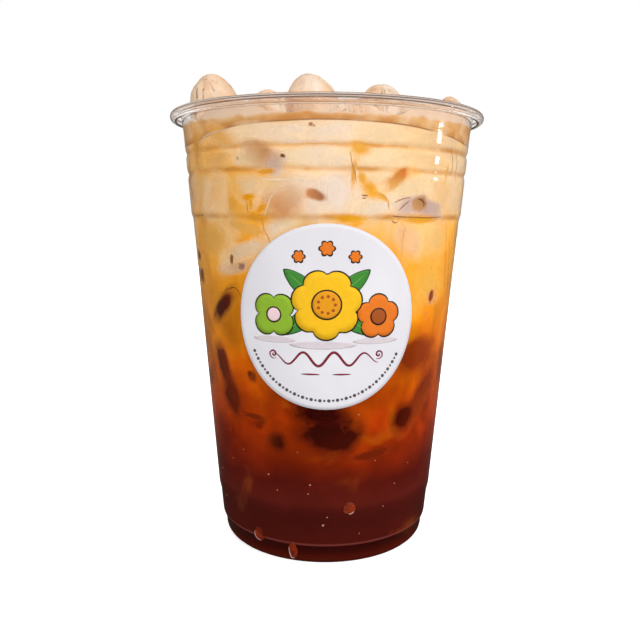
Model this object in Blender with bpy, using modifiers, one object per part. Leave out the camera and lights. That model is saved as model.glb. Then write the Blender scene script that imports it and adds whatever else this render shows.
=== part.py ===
"""Iced milk tea in a clear plastic cup, with lumps of ice standing above the rim.

Metres, +Z up. The origin is at the middle of the cup's foot, on the surface that it
stands on. The round label faces -Y.
"""
import math

import bmesh
import bpy
from mathutils import Euler, Vector

MM = 0.001
SMALL_GAP = 0.3 * MM      # between pieces that touch
TURN_STEPS = 36           # sides of every turned piece
MERGE = 0.01 * MM

# cup: outer radii and heights of the wall
WALL_THICKNESS = 0.5 * MM
FOOT_RADIUS = 31.0 * MM
FOOT_EDGE = 2.0 * MM      # round edge under the foot
FOOT_FLAT = 2.6 * MM      # width of the flat ring that the cup stands on
FOOT_RECESS = 2.4 * MM    # height of the raised middle
LEDGE_LOW, LEDGE_HIGH = 3.2 * MM, 5.8 * MM
LEDGE_RADIUS = 32.1 * MM
STEP_LOW = 12.8 * MM
STEP_LOW_RADIUS = 32.8 * MM
WALL_LOW, WALL_LOW_RADIUS = 13.8 * MM, 33.4 * MM
WALL_HIGH, WALL_HIGH_RADIUS = 96.6 * MM, 41.8 * MM
COLLAR_LOW, COLLAR_LOW_RADIUS = 98.2 * MM, 42.35 * MM
COLLAR_HIGH, COLLAR_HIGH_RADIUS = 123.0 * MM, 44.85 * MM
RIB_HEIGHTS = (110.0 * MM, 116.2 * MM)
RIB_DEPTH = 0.4 * MM
RIB_HALF = 1.1 * MM

# cup: the rolled rim
RIM_RADIUS = 49.0 * MM
RIM_TOP = 129.0 * MM
RIM_ROLL = 1.45 * MM      # radius of the roll's outer side
RIM_INNER_ROLL = 1.2 * MM
RIM_END_RADIUS = 46.9 * MM
RIM_MOUTH_RADIUS = 45.3 * MM

# drink
DRINK_LEVEL = 123.0 * MM

# label
LABEL_RADIUS = 25.2 * MM
LABEL_THICKNESS = 0.2 * MM
LABEL_HEIGHT = 70.6 * MM  # of its middle
LABEL_CELLS = 8

# ice: place of the lump's middle (x, y), height of its top, size (x, y, z) before its
# turn (x, y, z), in millimetres and degrees
ICE = {
    "ice_left": ((-33.2, -12.6), 139.8, (15.0, 16.5, 25.0), (6, 8, 20)),
    "ice_small": ((-17.2, -27.0), 132.3, (12.0, 13.0, 18.0), (-14, 12, 35)),
    "ice_centre": ((-5.0, -12.0), 140.4, (17.5, 17.5, 26.0), (12, 10, 20)),
    "ice_middle": ((16.6, -8.0), 138.2, (15.0, 17.0, 24.0), (-16, 12, 48)),
    "ice_right": ((34.6, -10.6), 135.2, (11.5, 16.0, 19.0), (8, 12, 0)),
    "ice_front": ((7.4, -33.6), 129.0, (19.0, 13.0, 14.0), (10, 8, 8)),
    "ice_front_2": ((23.4, -25.6), 128.4, (15.0, 12.5, 14.0), (-8, 10, -20)),
    "ice_back_1": ((-19.4, 7.4), 134.0, (21.0, 20.0, 22.0), (18, -14, 25)),
    "ice_back_2": ((4.0, 11.8), 133.6, (21.0, 21.0, 21.0), (-16, 18, 60)),
    "ice_back_3": ((29.2, 11.4), 134.6, (20.0, 20.0, 22.0), (14, 12, 35)),
    "ice_back_4": ((-34.6, 17.2), 131.4, (10.5, 15.0, 16.0), (-6, 4, -24)),
    "ice_back_5": ((-16.2, 31.0), 133.2, (22.0, 16.0, 20.0), (12, 10, 24)),
    "ice_back_6": ((9.8, 34.2), 132.2, (20.0, 14.0, 19.0), (-10, 12, -12)),
}
ICE_EDGE = 0.25           # bevel of the cage, as a share of its side
ICE_UNEVEN = 0.06         # how far the cage's corners wander, as a share of its side


def clear_scene():
    for item in list(bpy.data.objects):
        bpy.data.objects.remove(item, do_unlink=True)


def make_collection(name):
    collection = bpy.data.collections.new(name)
    bpy.context.scene.collection.children.link(collection)
    return collection


def make_material(name, colour, roughness, alpha=1.0):
    material = bpy.data.materials.new(name)
    material.use_nodes = True
    shader = material.node_tree.nodes["Principled BSDF"]
    shader.inputs["Base Color"].default_value = (*colour, 1.0)
    shader.inputs["Roughness"].default_value = roughness
    shader.inputs["Metallic"].default_value = 0.0
    shader.inputs["Alpha"].default_value = alpha
    return material


def add_object(name, mesh, collection, material=None):
    item = bpy.data.objects.new(name, mesh)
    collection.objects.link(item)
    if material:
        mesh.materials.append(material)
    return item


def add_modifier(item, kind, **settings):
    modifier = item.modifiers.new(kind.title(), kind)
    for key, value in settings.items():
        setattr(modifier, key, value)
    return modifier


def arc(centre, radius, start, end, steps):
    """Points on a circle in the (radius, height) plane, from start to end degrees."""
    turns = [math.radians(start + (end - start) * i / steps) for i in range(steps + 1)]
    return [(centre[0] + radius * math.cos(t), centre[1] + radius * math.sin(t)) for t in turns]


def collar_radius(height):
    share = (height - COLLAR_LOW) / (COLLAR_HIGH - COLLAR_LOW)
    return COLLAR_LOW_RADIUS + share * (COLLAR_HIGH_RADIUS - COLLAR_LOW_RADIUS)


def wall_outline():
    """The wall's outer side, from under the rim down to the middle of the foot."""
    points = [(COLLAR_HIGH_RADIUS, COLLAR_HIGH)]
    for rib in sorted(RIB_HEIGHTS, reverse=True):
        for offset, depth in ((RIB_HALF, 0.0), (0.0, RIB_DEPTH), (-RIB_HALF, 0.0)):
            points.append((collar_radius(rib + offset) - depth, rib + offset))
    points += [
        (COLLAR_LOW_RADIUS, COLLAR_LOW),
        (WALL_HIGH_RADIUS, WALL_HIGH),
        (WALL_LOW_RADIUS, WALL_LOW),
        (STEP_LOW_RADIUS, STEP_LOW),
        (LEDGE_RADIUS, LEDGE_HIGH),
        (FOOT_RADIUS, LEDGE_LOW),
    ]
    points += arc((FOOT_RADIUS - FOOT_EDGE, FOOT_EDGE), FOOT_EDGE, 0, -90, 2)
    foot_inner = FOOT_RADIUS - FOOT_EDGE - FOOT_FLAT
    points += [(foot_inner, 0.0), (foot_inner - FOOT_RECESS, FOOT_RECESS), (0.0, FOOT_RECESS)]
    return points


def rim_outline():
    """The sheet's under side round the rolled rim, from its free end in to the wall."""
    inner = RIM_ROLL - WALL_THICKNESS
    roll_centre = (RIM_RADIUS - RIM_ROLL, RIM_TOP - RIM_ROLL)
    mouth_roll = RIM_INNER_ROLL - WALL_THICKNESS
    mouth_centre = (RIM_MOUTH_RADIUS + RIM_INNER_ROLL, RIM_TOP - RIM_INNER_ROLL)
    points = [(RIM_END_RADIUS, roll_centre[1] - inner)]
    points += arc(roll_centre, inner, -90, 90, 3)
    points += arc(mouth_centre, mouth_roll, 90, 180, 2)
    return points


def offset_inwards(points, distance):
    """Moves an outline that runs down the outer side towards the axis, with mitred corners."""
    vectors = [Vector(p) for p in points]
    result = []
    for i, point in enumerate(vectors):
        along = [(vectors[j + 1] - vectors[j]).normalized()
                 for j in (i - 1, i) if 0 <= j < len(vectors) - 1]
        normals = [Vector((d.y, -d.x)) for d in along]
        mean = sum(normals, Vector((0.0, 0.0))).normalized()
        result.append(point + mean * (distance / mean.dot(normals[0])))
    return [(max(p.x, 0.0), p.y) for p in result]


def make_turned(name, outline, collection, material):
    """Turns an outline in the XZ plane round the Z axis."""
    mesh = bpy.data.meshes.new(name)
    edges = [(i, i + 1) for i in range(len(outline) - 1)]
    mesh.from_pydata([(r, 0.0, z) for r, z in outline], edges, [])
    item = add_object(name, mesh, collection, material)
    add_modifier(item, "SCREW", steps=TURN_STEPS, render_steps=TURN_STEPS,
                 use_merge_vertices=True, merge_threshold=MERGE, use_smooth_shade=True)
    return item


def make_cup(collection):
    material = make_material("clear_plastic", (0.93, 0.93, 0.92), 0.05, alpha=0.3)
    cup = make_turned("cup", rim_outline() + wall_outline(), collection, material)
    add_modifier(cup, "SOLIDIFY", thickness=WALL_THICKNESS, offset=-1.0, use_even_offset=True)
    return cup


def make_drink(collection):
    material = make_material("milk_tea", (0.72, 0.33, 0.09), 0.25)
    side = offset_inwards(wall_outline(), WALL_THICKNESS + SMALL_GAP)
    edge = side[0][0] + (DRINK_LEVEL - side[0][1]) * (side[0][0] - side[1][0]) / (
        side[0][1] - side[1][1])
    outline = [(0.0, DRINK_LEVEL), (edge, DRINK_LEVEL)] + side[1:]
    return make_turned("drink", outline, collection, material)


def wall_radius(height):
    """Outer radius of the plain wall between the two steps."""
    share = (height - WALL_LOW) / (WALL_HIGH - WALL_LOW)
    return WALL_LOW_RADIUS + share * (WALL_HIGH_RADIUS - WALL_LOW_RADIUS)


def make_label(collection):
    """A round sticker: a square grid drawn into a disc, then laid round the sloping wall."""
    material = make_material("label_paper", (0.9, 0.89, 0.93), 0.45)
    mesh = bpy.data.meshes.new("label")
    grid = bmesh.new()
    bmesh.ops.create_grid(grid, x_segments=LABEL_CELLS, y_segments=LABEL_CELLS, size=1.0)
    slope = math.atan2(WALL_HIGH_RADIUS - WALL_LOW_RADIUS, WALL_HIGH - WALL_LOW)
    for vertex in grid.verts:
        x, y = vertex.co.x, vertex.co.y
        across = LABEL_RADIUS * x * math.sqrt(1.0 - y * y / 2.0)
        up = LABEL_RADIUS * y * math.sqrt(1.0 - x * x / 2.0)
        height = LABEL_HEIGHT + up * math.cos(slope)
        radius = wall_radius(height) + SMALL_GAP
        turn = across / wall_radius(height)
        vertex.co = (radius * math.sin(turn), -radius * math.cos(turn), height)
    grid.to_mesh(mesh)
    grid.free()
    label = add_object("label", mesh, collection, material)
    add_modifier(label, "SOLIDIFY", thickness=LABEL_THICKNESS, offset=1.0)
    mesh.shade_smooth()
    return label


def ice_mesh(name, size, number):
    """A block with broad bevels and wandering corners: the cage of one melted lump."""
    mesh = bpy.data.meshes.new(name)
    block = bmesh.new()
    bmesh.ops.create_cube(block, size=1.0)
    bmesh.ops.bevel(block, geom=block.edges[:], offset=ICE_EDGE, offset_type="OFFSET",
                    segments=1, affect="EDGES")
    for i, vertex in enumerate(block.verts):
        wander = Vector([math.sin(2.4 * i + 1.7 * number + 2.1 * axis) for axis in range(3)])
        vertex.co += wander * ICE_UNEVEN
        vertex.co = Vector([c * s * MM for c, s in zip(vertex.co, size)])
    block.to_mesh(mesh)
    block.free()
    mesh.shade_smooth()
    return mesh


def place_ice(item, place, top, turn):
    """Turns the lump and sets it with its highest point at the height named top."""
    item.rotation_euler = Euler([math.radians(angle) for angle in turn])
    add_modifier(item, "SUBSURF", levels=1, render_levels=1)
    bpy.context.view_layer.update()
    shape = item.evaluated_get(bpy.context.evaluated_depsgraph_get())
    rise = max((item.rotation_euler.to_matrix() @ v.co).z for v in shape.data.vertices)
    item.location = (place[0] * MM, place[1] * MM, top * MM - rise)


def make_ice(collection, cutters, drink):
    material = make_material("milky_ice", (0.9, 0.74, 0.58), 0.15)
    for number, (name, (place, top, size, turn)) in enumerate(ICE.items()):
        mesh = ice_mesh(name, size, number)
        lump = add_object(name, mesh, collection, material)
        place_ice(lump, place, top, turn)
        cutter = add_object("cut_" + name, mesh, cutters)
        place_ice(cutter, place, top, turn)
        add_modifier(cutter, "DISPLACE", strength=SMALL_GAP, mid_level=0.0)
        cutter.hide_render = True
        cutter.display_type = "WIRE"
        add_modifier(drink, "BOOLEAN", operation="DIFFERENCE", solver="EXACT", object=cutter)


def main():
    clear_scene()
    parts = make_collection("iced_milk_tea")
    cutters = make_collection("cutters")
    make_cup(parts)
    drink = make_drink(parts)
    make_label(parts)
    make_ice(parts, cutters, drink)


main()
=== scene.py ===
import math
import bpy
import numpy as np
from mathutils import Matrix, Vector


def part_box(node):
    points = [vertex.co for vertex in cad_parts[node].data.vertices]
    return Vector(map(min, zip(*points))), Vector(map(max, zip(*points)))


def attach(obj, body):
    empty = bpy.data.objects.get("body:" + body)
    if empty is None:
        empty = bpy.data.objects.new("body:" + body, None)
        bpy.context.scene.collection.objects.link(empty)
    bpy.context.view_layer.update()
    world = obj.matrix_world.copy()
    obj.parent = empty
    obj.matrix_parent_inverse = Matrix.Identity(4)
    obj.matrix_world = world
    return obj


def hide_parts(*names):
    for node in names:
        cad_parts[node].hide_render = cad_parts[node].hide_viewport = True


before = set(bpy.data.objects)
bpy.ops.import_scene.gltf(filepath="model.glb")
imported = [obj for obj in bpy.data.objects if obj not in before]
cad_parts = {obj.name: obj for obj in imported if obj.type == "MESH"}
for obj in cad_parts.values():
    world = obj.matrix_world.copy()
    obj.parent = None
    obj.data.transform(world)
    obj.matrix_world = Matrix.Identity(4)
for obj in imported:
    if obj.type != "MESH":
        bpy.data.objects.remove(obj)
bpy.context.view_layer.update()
mm = 0.001
root = "root"
eased = {"interpolation_type": "SMOOTHSTEP"}      # for map ranges that ease in and out


# small helpers

def linear(code):
    # sRGB hex to linear: the straight foot below 0.04045, the 2.4 power above it
    part = np.array([int(code[i:i + 2], 16) for i in (1, 3, 5)]) / 255.0
    value = np.where(part <= 0.04045, part / 12.92, ((part + 0.055) / 1.055) ** 2.4)
    return (*value.tolist(), 1.0)


def addNode(tree, kind, settings):
    # one node: a node or a socket is linked to the input named and a value is set on it;
    # stops fill a colour ramp, and any other name is a property
    node = tree.nodes.new("ShaderNode" + kind)
    for name, value in settings.items():
        if name == "stops":
            ramp = node.color_ramp
            while len(ramp.elements) < len(value):
                ramp.elements.new(0.5)
            for element, (place, code) in zip(ramp.elements, value):
                element.position = place
                element.color = linear(code)
        elif isinstance(value, bpy.types.Node):
            tree.links.new(next(end for end in value.outputs if end.enabled), node.inputs[name])
        elif isinstance(value, bpy.types.NodeSocket):
            tree.links.new(value, node.inputs[name])
        elif isinstance(name, int) or name in node.inputs:
            node.inputs[name].default_value = linear(value) if isinstance(value, str) else value
        else:
            setattr(node, name, value)
    return node


def clearNodes(item):
    # empties the nodes of a material or a world, and gives the function that adds to them
    item.use_nodes = True
    item.node_tree.nodes.clear()
    return lambda kind, settings={}: addNode(item.node_tree, kind, settings)


def newMaterial(name, recipe):
    # the recipe adds its nodes with put, reads the piece's own coordinates in place and
    # gives the shader
    material = bpy.data.materials.new(name)
    put = clearNodes(material)
    shader = recipe(put, put("TexCoord").outputs["Object"])
    put("OutputMaterial", {"Surface": shader})
    return material


def bandAt(put, value, middle, full, none, strength):
    # strength where value is within full of the middle, easing to 0 at none from it
    off = put("Math", {"operation": "SUBTRACT", 0: value, 1: middle})
    off = put("Math", {"operation": "ABSOLUTE", 0: off})
    return put("MapRange", {**eased, 1: full, 2: none, 3: strength, 4: 0.0, 0: off})


def ripple(points, size, seed, waves=7):
    # uneven field from -1 to 1: the mean of sines that run in seeded directions, size mm long
    draw = np.random.default_rng(seed)
    way = draw.normal(size=(waves, 3))
    way /= np.linalg.norm(way, axis=1)[:, None]
    length = size * draw.uniform(0.7, 1.5, waves)
    phase = draw.uniform(0, 2 * np.pi, waves)
    total = np.sin(points @ (way / length[:, None]).T * 2 * np.pi + phase)
    return total.mean(axis=-1) * 1.8


def ripples(points, rows):
    # the sum of height times ripple, over rows of height, size and seed
    return sum(height * ripple(points, size, seed) for height, size, seed in rows)


def softStep(value, low, high):
    # 0 below low, 1 above high, and the cubic 3t2 - 2t3 between
    t = np.clip((value - low) / (high - low), 0, 1)
    return t * t * (3 - 2 * t)


def volumeUnder(points, faces):
    # six times the volume between the faces and the origin: each face is cut into
    # triangles from its first corner, and a . (b x c) summed, above 0 if they point outwards
    corner = points[faces]
    fans = [np.cross(corner[:, k], corner[:, k + 1]) for k in range(1, faces.shape[1] - 1)]
    return sum(np.einsum("ij,ij->i", corner[:, 0], fan).sum() for fan in fans)


def closedGrid(grid):
    # points and faces of rows x columns x 3, whose columns run round and close, and whose
    # first and last rows shrink to one point each; the faces are turned to point outwards
    rows, columns = grid.shape[:2]
    points = np.concatenate([grid[1:-1].reshape(-1, 3), [grid[0].mean(axis=0), grid[-1].mean(axis=0)]])
    index = np.arange((rows - 2) * columns).reshape(rows - 2, columns)
    after = np.roll(index, -1, axis=1)
    firstEnd, lastEnd = np.full(columns, len(points) - 2), np.full(columns, len(points) - 1)
    faces = [np.stack([index[:-1], after[:-1], after[1:], index[1:]], axis=-1).reshape(-1, 4),
             np.stack([after[0], index[0], firstEnd], axis=-1),
             np.stack([index[-1], after[-1], lastEnd], axis=-1)]
    if sum(volumeUnder(points, part) for part in faces) < 0:
        faces = [part[:, ::-1] for part in faces]
    return points, faces


def closedPiece(name, grids, material, node=(), values=None, colours=None):
    # one object of closed grids in mm: values has an array (rows x columns) for each grid
    # by name, and colours a hex string or an array (rows x columns x 4) for each grid
    points, faces, start = [], [], 0
    for grid in grids:
        spots, parts = closedGrid(grid)
        points.append(spots)
        faces += [part + start for part in parts]
        start += len(spots)
    mesh = bpy.data.meshes.new(name)
    mesh.vertices.add(start)
    mesh.vertices.foreach_set("co", (np.concatenate(points) * mm).astype(np.float32).ravel())
    loops = np.concatenate([part.ravel() for part in faces])
    sizes = np.concatenate([np.full(len(part), part.shape[1]) for part in faces])
    mesh.loops.add(len(loops))
    mesh.loops.foreach_set("vertex_index", loops.astype(np.int32))
    mesh.polygons.add(len(sizes))
    mesh.polygons.foreach_set("loop_start", (np.cumsum(sizes) - sizes).astype(np.int32))
    mesh.polygons.foreach_set("use_smooth", np.ones(len(sizes), bool))
    mesh.update(calc_edges=True)
    for field, arrays in (values or {}).items():
        flat = [np.concatenate([a[1:-1].ravel(), [a[0].mean(), a[-1].mean()]]) for a in arrays]
        mesh.attributes.new(field, "FLOAT", "POINT").data.foreach_set(
            "value", np.concatenate(flat).astype(np.float32))
    if colours:
        flat = [np.tile(linear(c), (len(p), 1)) if isinstance(c, str)
                else np.concatenate([c[1:-1].reshape(-1, 4), c[0, :1], c[-1, :1]])
                for c, p in zip(colours, points)]
        mesh.attributes.new("ink", "FLOAT_COLOR", "POINT").data.foreach_set(
            "color", np.concatenate(flat).astype(np.float32).ravel())
    mesh.validate()
    piece = bpy.data.objects.new(name, mesh)
    bpy.context.scene.collection.objects.link(piece)
    mesh.materials.append(material)
    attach(piece, root)
    if node:
        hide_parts(*node)
    return piece


def anglesRound(count):
    # count even steps of a whole turn, in radians
    return np.arange(count) / count * 2 * np.pi


def turned(path, columns):
    # a profile of (radius, height) carried round the Z axis, azimuth 0 towards -Y
    angle = anglesRound(columns)
    radius, height = path[:, 0][:, None], path[:, 1][:, None]
    return np.stack([radius * np.sin(angle), -radius * np.cos(angle),
                     height + 0 * angle], axis=-1)


def polar(azimuth, radius, height):
    # a point on the wall from its azimuth in degrees (0 is the front, + to the right)
    angle = np.radians(azimuth)
    return np.stack(np.broadcast_arrays(radius * np.sin(angle), -radius * np.cos(angle), height), -1)


def spin(turn):
    # the matrix that turns a plane by an angle in degrees
    c, s = math.cos(math.radians(turn)), math.sin(math.radians(turn))
    return np.array([[c, -s], [s, c]])


def turnMatrix(turn):
    # turns about X, then Y, then Z, in degrees
    x, y, z = np.eye(3), np.eye(3), np.eye(3)
    x[1:, 1:] = spin(turn[0])
    y[::2, ::2] = spin(-turn[1])
    z[:2, :2] = spin(turn[2])
    return z @ y @ x


def lumpShape(rows, columns, power, seed, uneven, wave=0.9):
    # a block with round edges inside the unit cube: |x|^p + |y|^p + |z|^p = 1 along each
    # direction, with slow ripples pushing the surface in and out
    lift = np.linspace(0, np.pi, rows)[:, None]
    angle = anglesRound(columns)
    way = np.stack([np.sin(lift) * np.cos(angle), np.sin(lift) * np.sin(angle),
                    np.cos(lift) + 0 * angle], axis=-1)
    reach = (np.abs(way) ** power).sum(axis=-1) ** (-1 / power)
    shape = way * reach[..., None]
    return shape * (1 + uneven * ripple(shape, wave, seed))[..., None]


# camera

camera = {
    "place": (0.0, -222.7, 98.05), "tilt": -1.5, "roll": 0.46,   # mm and degrees
    "lens": 39.03, "shift": (-0.0093, -0.1361),
}


def addCamera():
    # level and facing +Y before it tilts, then rolls about its own line of sight
    data = bpy.data.cameras.new("camera")
    data.lens = camera["lens"]
    data.sensor_width = 36.0
    data.shift_x, data.shift_y = camera["shift"]
    data.clip_start, data.clip_end = 0.01, 20.0
    item = bpy.data.objects.new("camera", data)
    item.location = [c * mm for c in camera["place"]]
    item.rotation_euler = (math.radians(90 + camera["tilt"]), 0, 0)
    item.rotation_euler.rotate_axis("Z", math.radians(camera["roll"]))
    bpy.context.scene.collection.objects.link(item)
    bpy.context.scene.camera = item


addCamera()
print("camera placed")


# cup: thin clear PET, formed warm over a mould

cup = {
    "wall": 0.5, "footRadius": 31.0, "footEdge": 2.0, "footFlat": 2.6, "footRecess": 2.4,
    "outline": ((31.0, 3.2), (32.1, 5.8), (32.85, 12.4), (33.45, 14.8),
                (41.8, 96.6), (42.35, 98.2), (44.85, 123.0)),      # outer radius, height
    "ribs": (110.0, 116.2), "ribDepth": 0.4, "ribHalf": 0.75,
    "rimRadius": 49.0, "rimTop": 129.0, "rimRoll": 1.45, "mouthRadius": 45.3, "mouthRoll": 1.2,
    "rimEnd": 46.9, "rows": 215, "columns": 200,
    "ribbedFrom": 99.0, "ribStep": 0.15, "seam": 97.6,     # the grooves, and the step below them
    # how corners are rounded and where rows gather: mm of the moving mean, its finest step,
    # and mm of path that a row gives up for each radian of turn
    "corner": 0.9, "grain": 0.05, "bend": 1.2,
    # painted refraction on the rim's roll, by height: dark lines and a peach cast that stand in for what the
    # curl bends and mirrors
    "paintedRimSpan": (124.0, 130.0),
    "rimPaintedRefraction": ((125.0, "#FDFCFB"), (126.0, "#FCF9F6"), (126.3, "#F9F4EF"), (126.42, "#BEAA9E"),
                (126.55, "#F9F4EF"), (127.15, "#FAF6F2"), (127.28, "#C8B6AA"), (127.42, "#F9F4EF"),
                (127.95, "#F4EAE2"), (128.1, "#563A2A"), (128.28, "#563A2A"), (128.45, "#F1E6DE"),
                (129.0, "#F4ECE6")),
}


def arc(centre, radius, start, end, count):
    # points of a circle from one angle to another, in degrees
    angle = np.radians(np.linspace(start, end, count))
    return np.stack([centre[0] + radius * np.cos(angle), centre[1] + radius * np.sin(angle)], -1)


def evenPath(points, count):
    # corners rounded by a bell-weighted moving mean; then count points, each step covering
    # the same length plus bend mm for each radian that the path turns
    gap = np.linalg.norm(np.diff(points, axis=0), axis=1)
    along = np.concatenate([[0], np.cumsum(gap)])
    fine = np.arange(0, along[-1], cup["grain"])
    line = np.stack([np.interp(fine, along, points[:, k]) for k in (0, 1)], -1)
    width = int(cup["corner"] / cup["grain"]) | 1
    weight = np.hanning(width + 2)[1:-1]
    weight /= weight.sum()
    padded = np.pad(line, ((width // 2, width // 2), (0, 0)), mode="reflect", reflect_type="odd")
    line = np.stack([np.convolve(padded[:, k], weight, mode="valid") for k in (0, 1)], -1)
    step = np.diff(line, axis=0)
    angle = np.unwrap(np.arctan2(step[:, 1], step[:, 0]))
    share = np.linalg.norm(step, axis=1) + cup["bend"] * np.abs(np.gradient(angle))
    total = np.concatenate([[0], np.cumsum(share)])
    place = np.linspace(0, total[-1], count)
    return np.stack([np.interp(place, total, line[:, k]) for k in (0, 1)], -1)


def unitAlong(path):
    # the direction of a path at each of its points, as the central difference
    along = np.gradient(path, axis=0)
    return along / np.linalg.norm(along, axis=1)[:, None]


def outwards(path):
    # the unit normal to the right of the path's direction
    along = unitAlong(path)
    return np.stack([along[:, 1], -along[:, 0]], -1)


def outerRadius(height):
    # radius of the outer side at a height on the wall: straight from stop to stop, less a
    # bell-shaped groove of ribDepth at each rib
    radii, heights = np.array(cup["outline"]).T
    radius = np.interp(height, heights, radii)
    for rib in cup["ribs"]:
        radius = radius - cup["ribDepth"] * np.exp(-((height - rib) / cup["ribHalf"]) ** 2)
    return radius


def wallOutline():
    # outer side from the middle of the foot up to the collar's top
    foot = cup["footRadius"] - cup["footEdge"]
    inner = foot - cup["footFlat"]
    under = [(0, cup["footRecess"]), (inner - cup["footRecess"], cup["footRecess"]), (inner, 0)]
    edge = arc((foot, cup["footEdge"]), cup["footEdge"], -90, 0, 9)
    heights = np.array(cup["outline"])[:, 1]
    ribbed = np.arange(cup["ribbedFrom"], heights[-1], cup["ribStep"])
    up = np.concatenate([heights[:-1], ribbed, heights[-1:]])
    return np.concatenate([under, edge, np.stack([outerRadius(up), up], -1)])


def cupPath():
    # the outer side from the foot's middle up the wall, round the mouth and the rolled rim
    mouth = (cup["mouthRadius"] + cup["mouthRoll"], cup["rimTop"] - cup["mouthRoll"])
    roll = (cup["rimRadius"] - cup["rimRoll"], cup["rimTop"] - cup["rimRoll"])
    inner = cup["rimRoll"] - cup["wall"]
    rim = [arc(mouth, cup["mouthRoll"] - cup["wall"], 180, 90, 10), arc(roll, inner, 90, -90, 18),
           np.array([(cup["rimEnd"], roll[1] - inner)])]
    return np.concatenate([wallOutline()] + rim)


def clearPet(put, place):
    # PET sheet, vacuum formed: clear and glossy, with faint waves and a slight haze from
    # the mould that soften what it mirrors
    drawn = put("Mapping", {"Scale": (1.0, 1.0, 0.12), "Vector": place})
    wave = put("TexNoise", {"Scale": 1 / (9 * mm), "Detail": 1.0, "Vector": drawn})
    haze = put("TexNoise", {"Scale": 1 / (14 * mm), "Detail": 3.0, "Vector": place})
    rough = put("MapRange", {3: 0.03, 4: 0.09, 0: haze})
    bump = put("Bump", {"Strength": 0.004, "Distance": 0.3 * mm, "Height": wave})
    height = put("SeparateXYZ", {0: place}).outputs["Z"]
    # painted refraction: the rim's roll takes dark lines and a peach cast by height
    low, high = cup["paintedRimSpan"]
    height = put("MapRange", {1: low * mm, 2: high * mm, 0: height})
    stops = [((level - low) / (high - low), code) for level, code in cup["rimPaintedRefraction"]]
    tint = put("ValToRGB", {"stops": stops, 0: height})
    shell = put("BsdfPrincipled", {"IOR": 1.5, "Transmission Weight": 1.0,
                                   "Base Color": tint, "Roughness": rough, "Normal": bump})
    # what light passes on its way to the drink is left clear
    clear = put("BsdfTransparent", {"Color": "#FDFDFC"})
    path = put("LightPath")
    passing = put("Math", {"operation": "MAXIMUM", 0: path.outputs["Is Shadow Ray"],
                           1: path.outputs["Is Diffuse Ray"]})
    return put("MixShader", {0: passing, 1: shell, 2: clear})


outerPath = evenPath(cupPath(), cup["rows"])
innerPath = outerPath - outwards(outerPath) * cup["wall"]
innerPath[:, 0] = np.maximum(innerPath[:, 0], 0)
closedPiece("cupShell", [turned(np.concatenate([outerPath, innerPath[::-1]]), cup["columns"])],
            newMaterial("clear PET, vacuum formed", clearPet), ["cup"])
print("cup made")


# drink: black tea with orange tint under evaporated milk

drink = {
    "intoWall": 0.3, "level": 123.4, "rows": 165, "columns": 320,
    # the side ends at sideTop; above it even wallRows, then topRows of rings
    "sideTop": 118.0, "wallRows": 46, "topRows": 44, "ringPower": 1.3, "meniscus": 0.8,
    # unevenness of the wet edge and of the froth: mm high, mm long, seed
    "edgeRipples": ((0.8, 14, 5), (0.4, 4, 6)), "edgeRadius": 45, "fineRows": 600,
    "frothRipples": ((0.45, 16, 7), (0.2, 5, 8)),
    # the wet wall above the level: its upper edge, and how high that may rise; its lower
    # edge, as azimuth and height; and where it rises between the tall lumps, as azimuth,
    # rise and degrees across
    "wetTop": 124.5, "wetMost": 128.0,
    "wetLine": ((-180, 120.6), (-120, 121.6), (-90, 119.6), (-74, 118.3), (-60, 118.4), (-50, 119.2),
                (-38, 121.3), (-27, 122.0), (0, 122.6), (27, 122.0), (40, 121.0), (52, 120.1),
                (66, 118.8), (82, 118.6), (110, 120.8), (150, 121.8), (180, 120.6)),
    "wetPeaks": ((-35.0, 5.8, 11.0), (43.0, 5.8, 12.0)),
    "footTurn": 6.1,        # where the wall turns in to the foot
    # colours by height, from the foot up: plain tea, milk, where tea glows, where it is thick
    "tallest": 130.0,
    "tea": ((0, "#5A1A0C"), (3, "#400C06"), (5.4, "#300604"), (6.6, "#4C130D"), (12, "#46120D"),
            (16, "#4A130E"), (18, "#581A13"), (24, "#54140C"), (31, "#7E2206"), (39, "#AA3604"),
            (48, "#B24604"), (58, "#C25A04"), (67, "#D47C0E"), (75, "#E29020"), (83, "#EA9C2C"),
            (91, "#F0A63A"), (98, "#F0AE4E"), (110, "#F0B662"), (123, "#F2BE7C")),
    "cream": ((48, "#B45A1C"), (62, "#D08A40"), (78, "#E2AE70"), (90, "#EEC28A"),
              (100, "#F1CA9A"), (110, "#F2CEA2"), (123, "#EFCBA2")),
    "glow": ((30, "#B84A08"), (45, "#CC6608"), (60, "#DE7E06"), (75, "#EA920C"), (92, "#F39E12"),
             (108, "#F5A420"), (120, "#F3AE44")),
    "thick": ((20, "#3C0A05"), (34, "#541204"), (45, "#722204"), (60, "#8E3806"), (75, "#A85A14"),
              (95, "#B47636"), (120, "#BE8244")),
}

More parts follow.
